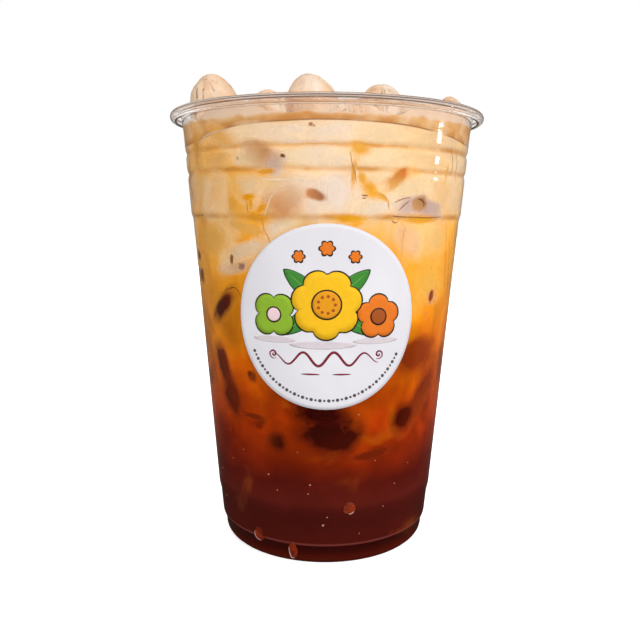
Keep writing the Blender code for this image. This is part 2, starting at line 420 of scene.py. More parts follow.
# patches in the drink: azimuth, height, across, upright, lean, milk (+ more, - less), and
# glow (+ amber, - thick)
flow = (
    (-2, 103.5, 19, 12, 0, 1.0, 0.0), (-9, 119.4, 24, 4.6, 0, 0.8, 0.0), (-33, 119.2, 14, 4, 0, 0.2, 0.0),
    (-45, 112.5, 16, 9, 0, -0.7, 0.15), (-49, 102.5, 14, 9, 0, 0.5, -0.25),
    (-34, 102.6, 10, 10, -8, -0.8, 0.55), (-70, 108, 9, 26, 0, -0.2, -0.6),
    (-64, 84, 12, 40, 0, -0.4, -0.35), (5, 112.6, 16, 4, 0, 0.5, 0.1), (-12, 112.8, 12, 3.6, 0, 0.7, 0.0),
    (10.7, 115.4, 4.2, 3.6, 0, -0.5, 1.0), (25, 116.2, 12, 1.5, -8, -0.4, 0.7),
    (9.6, 108.5, 1.2, 10, 0, -0.4, 0.8), (14.5, 104.6, 4.0, 4.6, -30, -0.5, 1.0),
    (20.6, 103.4, 5.5, 1.4, -38, 0, 0.8), (26, 107.6, 5.4, 3.4, 34, -0.6, 1.3),
    (31, 109.6, 9, 1.8, 0, -0.5, 0.8), (42, 115.5, 22, 8, 0, 0.15, 0.0), (48, 103.8, 15, 9, 0, -0.1, 0.1),
    (16, 99.6, 10, 3.6, 10, 0.9, 0.0), (28, 101.5, 9, 4, 20, 0.8, 0.0), (-29.4, 103, 4.6, 1.9, -6, 0, 1.3),
    (-28.2, 101.4, 1.2, 2.6, 0, 0, 0.7), (-23.7, 99.8, 3.6, 1.6, 32, 0, 1.1),
    (-21.4, 109.5, 5.4, 1.7, 0, 0, 1.2), (-34, 109.8, 12, 1.6, 0, -0.3, 0.6),
    (-25, 97.2, 6, 2.2, 0, -0.4, 1.0), (9, 97.2, 8, 2.0, 0, -0.5, 1.0), (-38, 94.5, 8, 5, 0, -0.2, 0.2),
    (-56, 92, 8, 9, 0, 0.0, -0.35), (-27, 92.6, 11, 5.5, 20, -0.8, 0.9), (-16, 95.4, 9, 3.4, 0, 0.9, 0.0),
    (-33, 88.2, 24, 4.6, 16, 1.0, 0.0), (-40, 83.6, 13, 4.6, 0, 0.9, 0.0), (-56, 84, 9, 12, 0, -0.4, -0.2),
    (-46, 77.2, 22, 5.4, 0, -0.6, 0.45), (40, 93, 10, 7, 0, -0.2, 0.15),
    (28.5, 92.6, 2.6, 6.6, 0, 0.8, 0.0), (37, 86, 9, 10, 0, -0.5, 0.3), (56, 86, 12, 34, 0, -0.6, 0.5),
    (40, 80, 12, 20, 0, -0.7, 0.35), (48, 76, 16, 8, 0, -0.6, 0.5), (-50, 62.5, 14, 6, 0, -0.5, 0.35),
    (-62, 56, 10, 18, 0, -0.5, -0.5), (-36, 58, 8, 12, 0, 0, 0.25), (-33, 44, 18, 12, 8, 0, -0.45),
    (-58, 36, 18, 16, 0, 0, -0.6), (33, 41, 5.5, 12, 16, 0, 0.8), (24, 36.6, 15, 4.2, 8, 0, 0.7),
    (3, 31.6, 15, 3.6, 6, 0, 0.5), (-17, 45.6, 4, 4, 0, 0, 0.7), (-12, 36, 9, 8, -20, 0, 0.25),
    (0, 46.4, 16, 2.4, 0, 0, -0.8), (46, 59, 14, 10, 20, 0, -0.8), (52, 46, 12, 18, 0, 0, -0.8),
    (-30, 39.6, 7, 2.2, 0, 0, -0.6), (10, 26, 30, 6, 0, 0, -0.3), (-60, 78, 14, 34, 0, -1.2, 0.1),
    (-66, 110, 12, 24, 0, -0.9, 0.1), (-25, 109.6, 14, 4, 0, -0.4, 0.4), (-30, 90.5, 12, 5, 0, -0.8, 0.6),
    (-53, 117, 20, 13, 0, -0.8, 0.5),
)
# seeded patches round the other sides, and how far all of them wander, as the ripples are
flowAround = {
    "seed": 4, "count": 60, "azimuth": (70.0, 290.0), "height": (24.0, 120.0), "milkHeights": (70, 100),
    "across": (3, 18), "upright": (1.6, 9), "lean": (-35, 35), "milk": (-1, 1.2), "glow": (-0.7, 1.0),
}
wander = (((1.5, 9, 61), (0.7, 3.5, 62)), ((1.3, 9, 63), (0.6, 3.5, 64)))


def flowPatches():
    # the named patches, and seeded ones round the rest of the cup, more milk near the top
    draw = np.random.default_rng(flowAround["seed"])
    count = flowAround["count"]
    height = draw.permutation(np.linspace(*flowAround["height"], count))
    azimuth, across, upright, lean, milk, glow = [
        draw.uniform(*flowAround[name], count)
        for name in ("azimuth", "across", "upright", "lean", "milk", "glow")]
    milk = milk * softStep(height, *flowAround["milkHeights"])
    glow = glow * (1 - 0.6 * np.clip(milk, 0, 1))
    return [*flow, *zip(azimuth, height, across, upright, lean, milk, glow)]


def flowFields(grid):
    # sum over the patches of strength times exp(-d^2.4), d being 1 at the patch's half size
    azimuth = np.degrees(np.arctan2(grid[..., 0], -grid[..., 1]))
    height = grid[..., 2]
    radius = outerRadius(height)
    milk, glow = np.zeros(height.shape), np.zeros(height.shape)
    # both coordinates wander by up to 2 mm, so that no patch keeps an even outline
    wanderU, wanderV = [ripples(grid, rows) for rows in wander]
    for place, level, across, upright, lean, milkier, warmer in flowPatches():
        u = np.radians((azimuth - place + 180) % 360 - 180) * radius + wanderU
        v = height - level + wanderV
        along, up = np.tensordot(spin(-lean), [u, v], 1)
        near = np.exp(-((along * 2 / across) ** 2 + (up * 2 / upright) ** 2) ** 1.2)
        milk += milkier * near
        glow += warmer * near
    return {"milk": milk, "glow": glow}


def liquidColour(put, place):
    # the tea's colour at a place: deep red at the foot up to gold, with milk drifting in
    size = put("VectorMath", {"operation": "SCALE", "Scale": 1 / mm, 0: place})
    axes = put("SeparateXYZ", {0: size})
    height = axes.outputs["Z"]
    milkAt = put("Attribute", {"attribute_name": "milk"}).outputs["Fac"]
    glowAt = put("Attribute", {"attribute_name": "glow"}).outputs["Fac"]
    # the colours sway by up to 7 mm, less near the foot
    drift = put("TexNoise", {"Scale": 1 / 22, "Distortion": 0.5, "Vector": size})
    sway = put("MapRange", {1: 0.25, 2: 0.75, 3: -7.0, 4: 7.0, 0: drift})
    loose = put("MapRange", {**eased, 1: 14.0, 2: 40.0, 0: height})
    moved = put("Math", {"operation": "MULTIPLY_ADD", 0: sway, 1: loose, 2: height})
    share = put("Math", {"operation": "DIVIDE", 1: drink["tallest"], 0: moved})
    tea, cream, warm, thick = [
        put("ValToRGB", {"stops": [(level / drink["tallest"], code) for level, code in drink[name]],
                         0: share})
        for name in ("tea", "cream", "glow", "thick")]
    # broken streaks that run downwards in the lower half, 5 mm wide, and blotches of 16 mm
    drawn = put("VectorMath", {"operation": "MULTIPLY", 1: (1.0, 1.0, 0.3), 0: size})
    streak = put("TexNoise", {"Scale": 1 / 5, "Detail": 3.0, "Distortion": 0.4, "Vector": drawn})
    blotch = put("TexNoise", {"Scale": 1 / 16, "Distortion": 0.8, "Vector": size})
    both = put("Math", {"operation": "MULTIPLY_ADD", 1: 0.35, 0: streak, 2: blotch})
    shade = put("MapRange", {1: 0.5, 2: 0.85, 3: 0.72, 4: 1.25, 0: both})
    depth = put("MapRange", {**eased, 1: 62.0, 2: 90.0, 4: 0.8, 0: height})
    # the tea lies still and even in the lowest part
    still = put("MapRange", {**eased, 1: 20.0, 2: 36.0, 3: 0.85, 4: 0.0, 0: height})
    depth = put("Math", {"operation": "MAXIMUM", 0: depth, 1: still})
    even = put("Mix", {3: 1.0, 0: depth, 2: shade})
    # painted light: the colour is lifted on the right of the label, the side the key light comes from
    lift = put("MapRange", {**eased, 1: 2.0, 2: 26.0, 3: 1.0, 4: 1.35, 0: axes.outputs["X"]})
    lift = put("Mix", {3: 1.08, 0: still, 2: lift})
    even = put("Math", {"operation": "MULTIPLY", 0: even, 1: lift})
    tea = put("VectorMath", {"operation": "SCALE", 0: tea, "Scale": even})
    # milk: soft clouds, thick near the top and gone by mid height
    cloud = put("TexNoise", {"Scale": 1 / 17, "Detail": 3.0, "Roughness": 0.45, "Distortion": 0.5,
                             "Vector": size})
    cover = put("MapRange", {**eased, 1: 56.0, 2: 108.0, 3: -0.28, 4: 0.1, 0: height})
    amount = put("Math", {"operation": "ADD", 0: cloud, 1: cover})
    amount = put("Math", {"operation": "MULTIPLY_ADD", 1: 0.24, 0: milkAt, 2: amount})
    milk = put("MapRange", {**eased, 1: 0.36, 2: 0.66, 0: amount})
    mixed = put("Mix", {"data_type": "RGBA", 0: milk, 6: tea, 7: cream})
    # amber where tea shows through, brown where it is thick, both with torn edges
    tear = put("TexNoise", {"Scale": 1 / 4, "Detail": 3.0, "Distortion": 0.6, "Vector": size})
    tear = put("MapRange", {3: -0.35, 4: 0.35, 0: tear})
    torn = put("Math", {"operation": "ADD", 0: glowAt, 1: tear})
    amber = put("MapRange", {**eased, 1: 0.15, 2: 1.0, 4: 0.9, 0: torn})
    stirred = put("Math", {"operation": "SUBTRACT", 0: 1.0, 1: still})
    amber = put("Math", {"operation": "MULTIPLY", 0: amber, 1: stirred})
    mixed = put("Mix", {"data_type": "RGBA", 0: amber, 6: mixed, 7: warm})
    brown = put("MapRange", {**eased, 1: -0.1, 2: -0.9, 4: 0.8, 0: torn})
    mixed = put("Mix", {"data_type": "RGBA", 0: brown, 6: mixed, 7: thick})
    # painted shade: the grooves and the step of the wall are darkened in broken golden-brown bands, where
    # the wall bends the light
    broken = put("MapRange", {1: 0.35, 2: 0.62, 3: 0.35, 0: blotch})
    for level in (*cup["ribs"], cup["seam"]):
        band = bandAt(put, height, level, 0.1, 1.3, 0.9)
        band = put("Math", {"operation": "MULTIPLY", 0: band, 1: broken})
        mixed = put("Mix", {"data_type": "RGBA", 7: "#D08C3C", 0: band, 6: mixed})
    # painted highlight: a fine pale line runs round where the wall turns in to the foot, as the edge there
    # catches the light
    band = bandAt(put, height, drink["footTurn"], 0.1, 0.45, 0.4)
    mixed = put("Mix", {"data_type": "RGBA", 7: "#9C5048", 0: band, 6: mixed})
    # broad faces of ice behind the milk, each a little lighter or darker
    face = put("TexVoronoi", {"Scale": 1 / 17, "feature": "SMOOTH_F1", "Smoothness": 0.12,
                              "Randomness": 0.9, "Vector": size})
    grey = put("SeparateColor", {0: face.outputs["Color"]})
    step = put("MapRange", {3: 0.92, 4: 1.08, 0: grey})
    return put("VectorMath", {"operation": "SCALE", 0: mixed, "Scale": step})


def milkTea(put, place):
    # strong tea clouded with evaporated milk: it scatters light softly under the clear wall,
    # and hangs in an amber film on the wall above its level
    colour = liquidColour(put, place)
    film = put("Attribute", {"attribute_name": "film"}).outputs["Fac"]
    wet = put("MapRange", {**eased, 2: 0.3, 0: film})
    vary = put("TexNoise", {"Scale": 1 / (6 * mm), "Detail": 3.0, "Vector": place})
    amber = put("ValToRGB", {"stops": [(0.3, "#D89A5A"), (0.5, "#E6B47A"), (0.7, "#F0CDA6")], 0: vary})
    # the film is paler at its upper edge
    height = put("SeparateXYZ", {0: place}).outputs["Z"]
    pale = put("Math", {"operation": "MULTIPLY_ADD", 1: 2.6 * mm, 0: vary, 2: height})
    pale = put("MapRange", {**eased, 1: 124.9 * mm, 2: 126.0 * mm, 4: 0.85, 0: pale})
    amber = put("Mix", {"data_type": "RGBA", 7: "#EFD0B8", 0: pale, 6: amber})
    colour = put("Mix", {"data_type": "RGBA", 0: wet, 6: colour, 7: amber})
    # and browner in its lowest 2 mm, in patches, above a thin dark line at the edge
    low = put("MapRange", {**eased, 1: 0.4, 2: 2.4, 3: 0.85, 4: 0.0, 0: film})
    low = put("Math", {"operation": "MULTIPLY", 0: low, 1: wet})
    gaps = put("TexNoise", {"Scale": 1 / (8 * mm), "Distortion": 0.5, "Vector": place})
    gaps = put("MapRange", {1: 0.36, 2: 0.52, 3: 0.25, 0: gaps})
    low = put("Math", {"operation": "MULTIPLY", 0: low, 1: gaps})
    colour = put("Mix", {"data_type": "RGBA", 7: "#C88444", 0: low, 6: colour})
    line = bandAt(put, film, 0.0, 0.05, 0.34, 0.8)
    colour = put("Mix", {"data_type": "RGBA", 7: "#8A4E22", 0: line, 6: colour})
    return put("BsdfPrincipled", {"Roughness": 0.5, "Specular IOR Level": 0.0, "IOR": 1.35,
                                  "Base Color": colour})


def milkFroth(put, place):
    # the drink's wet upper side: pale milk froth with 1 mm bubbles and amber pools
    bubbles = put("TexVoronoi", {"Scale": 1 / (1.1 * mm), "feature": "DISTANCE_TO_EDGE", "Vector": place})
    skin = put("MapRange", {2: 0.18, 0: bubbles})
    foam = put("TexNoise", {"Scale": 1 / (12 * mm), "Detail": 4.0, "Vector": place})
    pool = put("ValToRGB", {"stops": [(0.35, "#D99C58"), (0.48, "#EBC596"), (0.6, "#F4DABB")], 0: foam})
    colour = put("Mix", {"data_type": "RGBA", 6: "#E2BC8C", 0: skin, 7: pool})
    bump = put("Bump", {"Strength": 0.35, "Distance": 0.15 * mm, "Height": skin})
    return put("BsdfPrincipled", {"Roughness": 0.25, "Specular IOR Level": 0.4, "IOR": 1.35,
                                  "Base Color": colour, "Normal": bump})


def wetLine(azimuth):
    # lower edge of the wet wall round the cup, with its corners rounded by a moving mean
    places, heights = np.array(drink["wetLine"]).T
    offsets = np.linspace(-7, 7, 9)
    wrapped = (azimuth[..., None] + offsets + 180) % 360 - 180
    return np.interp(wrapped, places, heights).mean(axis=-1)


def drinkGrid():
    # side: the wall's outline set in by the wall less intoWall, with even rows above
    # sideTop; top: rings that close in from the wet edge with froth ripples, higher at the wall
    inset = cup["wall"] - drink["intoWall"]
    wall = wallOutline()
    path = evenPath(wall, drink["rows"])
    side = path - outwards(path) * inset
    side[0, 0] = 0
    side = side[side[:, 1] < drink["sideTop"]]
    columns = drink["columns"]
    azimuth = (np.arange(columns) / columns * 360.0 + 180) % 360 - 180
    angle = np.radians(azimuth)
    rim = np.stack([np.cos(angle), np.sin(angle), 0 * angle], -1) * drink["edgeRadius"]
    top = drink["wetTop"] + ripples(rim, drink["edgeRipples"])
    for peak, rise, across in drink["wetPeaks"]:
        top += rise * np.exp(-((azimuth - peak) / across) ** 2)
    top = np.minimum(top, drink["wetMost"])
    low = side[-1, 1]
    share = np.linspace(0, 1, drink["wallRows"])[1:]
    height = low + (top - low)[None] * share[:, None]
    fine = evenPath(wall, drink["fineRows"])
    fine = fine[len(fine) // 2:]        # past the foot, where heights only rise
    # the film's upper edge goes on past the outline's last stop at the collar's slope
    (lowRadius, lowHeight), (topRadius, topHeight) = cup["outline"][-2:]
    slope = (topRadius - lowRadius) / (topHeight - lowHeight)
    radius = np.interp(height, fine[:, 1], fine[:, 0])
    radius = np.where(height > topHeight, fine[-1, 0] + (height - topHeight) * slope, radius) - inset
    upper = np.stack([radius * np.sin(angle), -radius * np.cos(angle), height], -1)
    inward = (1 - np.linspace(0, 1, drink["topRows"] + 1)[1:] ** drink["ringPower"])[:, None]
    ringRadius = radius[-1] * inward
    flat = np.stack([ringRadius * np.sin(angle), -ringRadius * np.cos(angle), 0 * ringRadius], -1)
    meniscus = np.exp(-(radius[-1] - ringRadius) / drink["meniscus"])
    relief = ripples(flat, drink["frothRipples"])
    flat[..., 2] = drink["level"] + relief + (top - drink["level"]) * meniscus
    grid = np.concatenate([turned(side, columns), upper, flat])
    # film is the height above the wet wall's lower edge, and below 0 on the side
    film = grid[..., 2] - wetLine(np.degrees(np.arctan2(grid[..., 0], -grid[..., 1])))
    film[:len(side)] = np.minimum(film[:len(side)], -1.0)
    return grid, film


body, film = drinkGrid()
fields = {name: [value] for name, value in flowFields(body).items()}
drinkPiece = closedPiece("drinkBody", [body], newMaterial("tea with evaporated milk", milkTea),
                         ["drink"], {"film": [film], **fields})
drinkPiece.data.materials.append(newMaterial("milk froth", milkFroth))
# the froth covers the rings inside the wet edge and the faces at their middle
onTop = np.zeros(len(drinkPiece.data.polygons), np.int32)
quads = (len(body) - 3) * drink["columns"]
onTop[quads - (drink["topRows"] - 2) * drink["columns"]:quads] = 1
onTop[-drink["columns"]:] = 1
drinkPiece.data.polygons.foreach_set("material_index", onTop)
print("drink made")


# ice standing above the rim

# each lump's turn about X, Y and Z, how deep its faces are cut, and its power: 2 is a
# ball, more is squarer
tallIce = {
    "ice_left": (4, -12, 20, 0.10, 2.2), "ice_small": (-14, 12, 35, 0.05, 2.3),
    "ice_centre": (0, -4, 20, 0.02, 2.1), "ice_middle": (-16, 12, 48, 0.06, 2.3),
    "ice_right": (8, 12, 0, 0.06, 2.2), "ice_front": (10, 8, 8, 0.10, 2.6),
    "ice_front_2": (-8, 10, -20, 0.10, 2.6), "ice_back_1": (18, -14, 25, 0.12, 2.6),
    "ice_back_2": (-16, 18, 60, 0.10, 2.6), "ice_back_3": (14, 12, 35, 0.12, 2.6),
    "ice_back_4": (-6, 4, -24, 0.10, 2.6), "ice_back_5": (12, 10, 24, 0.12, 2.6),
    "ice_back_6": (-10, 12, -12, 0.10, 2.6),
}
leans = {"ice_left": -0.14, "ice_right": 0.1}       # X shift of the top, as a share
nudges = {"ice_small": (0.3, 0, 0.6), "ice_right": (2.5, 0, -1.0)}      # mm from its solid
# rows and columns of each lump; how uneven and pitted it is, and how much narrower its top;
# how many planes cut it, and how softly
lumps = {
    "seed": 20, "detail": (80, 110), "uneven": 0.05, "pitting": 0.01, "pitSize": 0.35, "narrow": 0.14,
    "planes": 7, "planeSoft": 0.04,
}


def milkyIce(put, place):
    # tube ice melting under a film of milk: wet and translucent, peach where tea runs
    # down it, with brown threads in its cracks
    film = put("TexNoise", {"Scale": 1 / (9 * mm), "Detail": 3.0, "Distortion": 0.7, "Vector": place})
    colour = put("ValToRGB", {"stops": [(0.3, "#D8A678"), (0.42, "#EDC7A4"), (0.55, "#F6DABC"),
                                        (0.7, "#FAE9D8")], 0: film})
    drawn = put("Mapping", {"Scale": (1.0, 1.0, 0.3), "Vector": place})
    run = put("TexNoise", {"Scale": 1 / (3 * mm), "Detail": 3.0, "Distortion": 0.6, "Vector": drawn})
    run = put("MapRange", {**eased, 1: 0.55, 2: 0.75, 4: 0.55, 0: run})
    colour = put("Mix", {"data_type": "RGBA", 7: "#C99E7C", 0: run, 6: colour})
    # cracks run where a bent field passes its middle value, in places only
    bent = put("TexNoise", {"Scale": 1 / (6 * mm), "Detail": 3.0, "Distortion": 1.5, "Vector": drawn})
    crack = bandAt(put, bent, 0.5, 0.0, 0.016, 1.0)
    where = put("TexNoise", {"Scale": 1 / (11 * mm), "Detail": 1.0, "Vector": place})
    where = put("MapRange", {1: 0.46, 2: 0.56, 4: 0.9, 0: where})
    crack = put("Math", {"operation": "MULTIPLY", 0: crack, 1: where})
    colour = put("Mix", {"data_type": "RGBA", 7: "#76563F", 0: crack, 6: colour})
    grain = put("TexNoise", {"Scale": 1 / (2.5 * mm), "Detail": 2.0, "Vector": place})
    bump = put("Bump", {"Strength": 0.25, "Distance": 0.25 * mm, "Height": grain})
    return put("BsdfPrincipled", {"Roughness": 0.22, "IOR": 1.31, "Transmission Weight": 0.3,
                                  "Base Color": colour, "Normal": bump})


def cutFaces(shape, seed, depth):
    # flattens the shape where it passes each of some seeded planes: what is past the plane
    # is drawn back on it, softly, by the log of 1 + e^t
    draw = np.random.default_rng(seed)
    way = draw.normal(size=(lumps["planes"], 3))
    way /= np.linalg.norm(way, axis=1)[:, None]
    soft = lumps["planeSoft"]
    for normal in way:
        reach = (shape @ normal).max() * (1 - draw.uniform(0.5, 1.0) * depth)
        past = (shape @ normal - reach) / soft
        shape = shape - soft * np.logaddexp(0, past)[..., None] * normal
    return shape


def tallLump(name, turn, seed):
    # a melted block, turned and cut into faces, narrower and shifted towards its top, then
    # stretched to fill its node's box
    shape = lumpShape(*lumps["detail"], turn[4], seed, lumps["uneven"]) @ turnMatrix(turn[:3]).T
    shape = cutFaces(shape, seed + 90, turn[3])
    shape += lumps["pitting"] * ripple(shape, lumps["pitSize"], seed + 50)[..., None] * shape
    shape[..., :2] *= 1 - lumps["narrow"] * shape[..., 2:]
    shape[..., 0] += leans.get(name, 0) * shape[..., 2]
    low, high = [np.array(c) / mm + nudges.get(name, 0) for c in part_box(name)]
    flat = shape.reshape(-1, 3)
    lowest, highest = flat.min(axis=0), flat.max(axis=0)
    return (shape - lowest) / (highest - lowest) * (high - low) + low


ice = newMaterial("ice under a milk film", milkyIce)
for seed, (name, turn) in enumerate(tallIce.items(), lumps["seed"]):
    closedPiece(name + "_lump", [tallLump(name, turn, seed)], ice, [name])
print("tall ice made")


# ice sunk in the drink, pressed against the wall

# pieces seen on the wall: azimuth, height, across, upright, lean (+ right side down), the
# colours from its one side to its other (the ice's tone in the tea, with painted shade on one side and
# painted light on the other), and the direction in which they change
iceFaces = (
    (-40.1, 118.8, 17.0, 6.4, 14, "#F2AE58", "#F6BE74", 0),
    (-20.5, 119.3, 22.0, 5.8, 6, "#F4D2A8", "#F6DCC4", 0),
    (-1.6, 119.4, 21.0, 6.2, -3, "#F7DDC2", "#F5DCC4", 0),
    (19.4, 119.3, 19.0, 6.4, 5, "#FADAB0", "#FCD8A6", 0),
    (39.6, 118.8, 22.0, 6.2, -8, "#F9D4A0", "#F2C48E", 0),
    (-44.0, 112.6, 17.0, 5.6, 0, "#F2B870", "#F0B468", 40),
    (-31.0, 112.6, 8.0, 4.8, 6, "#F0CDA0", "#F0C690", 0),
    (-7.0, 113.0, 20.0, 6.6, 3, "#F6D8AE", "#F6DCC0", 0),
    (4.6, 112.8, 7.5, 5.4, 0, "#F6DAB8", "#F8DDBE", 0),
    (18.6, 112.8, 16.0, 6.4, -6, "#FBDCAE", "#FEDCB0", 0),
    (37.0, 113.2, 24.0, 6.6, 4, "#FCD8A4", "#F8CA90", 0),
    (-64.0, 104.6, 11.0, 12.0, 0, "#EAB888", "#F4C48A", 0),
    (-45.5, 103.9, 13.0, 12.6, 8, "#F8C080", "#FCC888", 0),
    (-29.5, 104.6, 10.0, 8.6, 0, "#F0C890", "#F2CCA0", 60),
    (-11.0, 103.8, 26.0, 12.0, 4, "#EBC49A", "#F2D8C4", 0),
    (1.2, 103.8, 18.0, 13.5, -8, "#F3DAC6", "#F5E0CE", 0),
    (18.4, 100.4, 14.0, 6.4, -14, "#F6DCBC", "#F8E0C6", 0),
    (30.5, 105.6, 21.0, 10.0, 14, "#FBDCB0", "#FCD8A4", 0),
    (48.5, 104.2, 17.0, 13.0, 8, "#FACE96", "#F6C68C", 0),
    (-50.1, 90.8, 20.0, 13.0, -20, "#E6A850", "#EEB25A", 0),
    (-33.0, 94.6, 17.0, 6.4, 12, "#E8AC58", "#F0B258", 0),
    (-17.6, 95.0, 13.0, 5.2, -16, "#F3DCC0", "#F0D2A8", 0),
    (-31.0, 88.8, 28.0, 6.0, -24, "#EAC498", "#EFD0AC", 0),
    (-39.0, 83.4, 17.0, 5.4, -14, "#E4BE98", "#DCAA78", 0),
    (48.5, 91.0, 19.0, 15.0, 6, "#FFD08A", "#FFC26A", 0),
    (34.0, 90.5, 11.0, 14.0, -8, "#F6B880", "#FFD09A", 0),
    (51.0, 74.8, 8.0, 5.0, 0, "#DCA27C", "#EAAC60", 0),
    (46.0, 79.0, 21.0, 17.0, -12, "#FFC25A", "#FFB846", 90),
    (-52.0, 74.0, 17.0, 13.0, -20, "#D0841E", "#E09422", 0),
)
iceLumps = (
    (-25.0, 113.6, 13.8, 7.6, 10, "#F0CCA0", "#C48040", 40),
    (-18.2, 111.3, 6.0, 6.6, 30, "#CFA890", "#E0C4B0", -40),
    (-15.6, 101.0, 13.4, 9.0, -18, "#D07C2C", "#EBC29A", 20),
    (25.2, 107.4, 10.4, 4.3, -33, "#F6BC6C", "#CE6C16", 30),
    (32.8, 100.7, 12.2, 6.1, -6, "#D6BAAE", "#D2B0A0", 0),
    (42.0, 99.8, 13.6, 6.0, 14, "#C4A298", "#D8B8A6", 0),
    (-69.1, 85.6, 4.4, 3.4, 10, "#5E2A1C", "#7A3A20", 0),
    (-67.7, 79.6, 5.6, 4.9, 10, "#54180E", "#7A3A20", 0),
    (-47.6, 72.0, 5.4, 16.5, 50, "#300704", "#5E1C0C", 90),
    (-51.0, 54.0, 7.5, 17.0, -22, "#4A1204", "#74280A", 0),
    (-47.0, 46.0, 8.5, 13.0, -20, "#58180A", "#6E2408", 0),
    (41.0, 58.5, 17.0, 9.5, -14, "#7E2A08", "#9A3A0C", 0),
    (48.0, 46.0, 9.0, 24.0, 40, "#7E2A0A", "#96380E", 0),
    (37.2, 41.2, 8.6, 9.6, 28, "#3A0804", "#5C1806", 0),
    (2.6, 39.0, 21.5, 15.0, 14, "#200202", "#481006", -40),
    (-3.4, 44.4, 18.0, 7.4, 8, "#2A0402", "#3C0803", 0),
    (-21.4, 35.3, 5.4, 6.1, 0, "#360A04", "#5A1C06", 180),
    (-32.9, 41.6, 9.0, 2.0, 4, "#6A2004", "#7A2A06", 0),
    (21.0, 31.9, 15.0, 3.0, -8, "#6E1E08", "#7A2408", 0),
    (-33.0, 53.0, 4.1, 3.7, 0, "#8A3A08", "#7A3006", 0),
)
iceSpots = (
    (-3.9, 103.2, 6.8, 3.1, 14, "#D89058", "#A66A48", 10),
    (36.4, 101.2, 6.4, 4.6, -10, "#CF9A66", "#B07A50", 40),
    (-39.8, 85.6, 1.6, 3.2, 6, "#8A5A30", "#8A5A30", 0),
    (-34.6, 83.8, 2.6, 2.2, 0, "#A87868", "#9A7060", 0),
    (-33.6, 53.8, 2.4, 1.9, 0, "#5E2406", "#7A3006", 0),
    (49.4, 75.2, 2.6, 4.0, 12, "#7A2410", "#A8541C", 0),
)
amberFilm = (
    (11.4, 115.4, 7.4, 4.6, 0, "#F4AE44", "#F2AC44", 0),
    (9.4, 109.0, 1.6, 10.6, 3, "#E8A040", "#EFAC48", 0),
    (15.4, 105.0, 9.4, 3.8, 44, "#F0A42C", "#F4B040", 0),
    (19.8, 103.0, 7.0, 1.9, 32, "#EFA838", "#F2B24C", 0),
    (-29.0, 102.6, 7.0, 2.5, 0, "#E8960C", "#EA9C1C", 0),
    (-28.2, 100.8, 1.6, 3.8, 0, "#E8980C", "#E8A030", 0),
    (-23.7, 99.8, 4.8, 2.1, -30, "#E8960C", "#EFA82C", 0),
    (-21.4, 109.3, 6.8, 2.1, 0, "#E89A14", "#DC9430", 0),
    (9.0, 97.2, 11.2, 3.0, 0, "#EEA018", "#F2AC30", 0),
    (-26.0, 97.0, 10.0, 2.8, 0, "#E0942C", "#E8A030", 0),
    (38.0, 97.0, 17.5, 3.2, 0, "#F0A838", "#EFA430", 0),
    (12.6, 107.6, 3.0, 4.6, -20, "#F0A838", "#F2B24C", 0),
    (-57.0, 116.5, 10.0, 15.0, 0, "#DC9438", "#E8A850", 0),
    (51.0, 110.0, 1.6, 6.4, 6, "#F0B050", "#EEAA48", 0),
)
# depth into the drink; |x|^p power; where the edge starts to fade, as a share of the way
# out; strength; mm proud of the drink; how uneven the fading edge is; how much weaker the
# side of the first colour is; and the share of the half size at which a piece looks to end
iceKinds = {
    "faces": {"pieces": iceFaces, "depth": 15.0, "power": 2.8, "soft": 0.0, "strength": 1.1,
              "proud": 0.03, "ragged": 0.2},
    "lumps": {"pieces": iceLumps, "depth": 13.0, "power": 2.4, "soft": 0.05, "strength": 1.55,
              "proud": 0.07, "oneSided": 0.3, "visible": 0.76},
    "spots": {"pieces": iceSpots, "depth": 6.0, "power": 2.2, "soft": 0.2, "strength": 1.3, "proud": 0.105},
    "amber": {"pieces": amberFilm, "depth": 6.0, "power": 2.1, "soft": 0.0, "strength": 1.1, "proud": 0.125},
}
# what a kind has unless it says otherwise
usualKind = {"ragged": 0.09, "oneSided": 0.0, "visible": 0.86}
lumpsAround = {**iceKinds["lumps"], "soft": 0.0, "strength": 1.3, "ragged": 0.2}
# all of them: the share of the half depth at which they are flat, which part of the flat
# side is solid, height and size of their ripples, the way out at which they have faded, how
# broadly the two colours meet, and mm over which the pieces of a kind step outwards
pressed = {"flat": 0.5, "solidSide": (0.5, 0.6), "uneven": 0.1, "wave": 1.3, "ragWave": 0.9, "edge": 0.93,
           "meet": (-0.8, 0.8), "stack": 0.03}
# the two colours of the pieces round the other sides, by height: dark for their painted shaded side, pale
# for their painted lit side
sunkShadedAndLit = {
    "dark": ((26, "#2E0503"), (45, "#3A0A03"), (62, "#5E1C06"), (75, "#A45A18"), (86, "#DC902C"),
             (97, "#E6A44C"), (124, "#EEC694")),
    "pale": ((26, "#4E1006"), (45, "#6E2008"), (62, "#9A4210"), (75, "#D08A38"), (86, "#ECA83C"),
             (97, "#F6C070"), (124, "#F6DABA")),
}
# faces round the sides and back, in rows of height, upright, and the range of across: each
# takes up a share of its breadth, and below thinFrom more of the turn, where fewer show
around = {
    "seed": 21, "from": 62.0, "to": 286.0, "tall": (0.6, 1.15), "rise": (-2.5, 1.5), "lean": (-24, 24),
    "start": (0, 6), "taken": 0.8, "thinFrom": 106, "thinning": 0.35, "wallRadius": 44,
    "rows": ((118.0, 9.0, 12, 26), (109.5, 12.0, 12, 26), (101.0, 11.0, 10, 22),
             (91.0, 11.0, 10, 20), (81.0, 9.0, 8, 15)),
}
# dark lumps there: the first azimuth, degrees covered, heights, and upright as a share of across
darkLumps = {
    "seed": 11, "count": 34, "from": 68.0, "over": 224.0, "height": (27.0, 80.0), "across": (6.0, 18.0),
    "upright": (0.4, 1.4), "tallest": 17.0, "lean": (-40, 40),
}


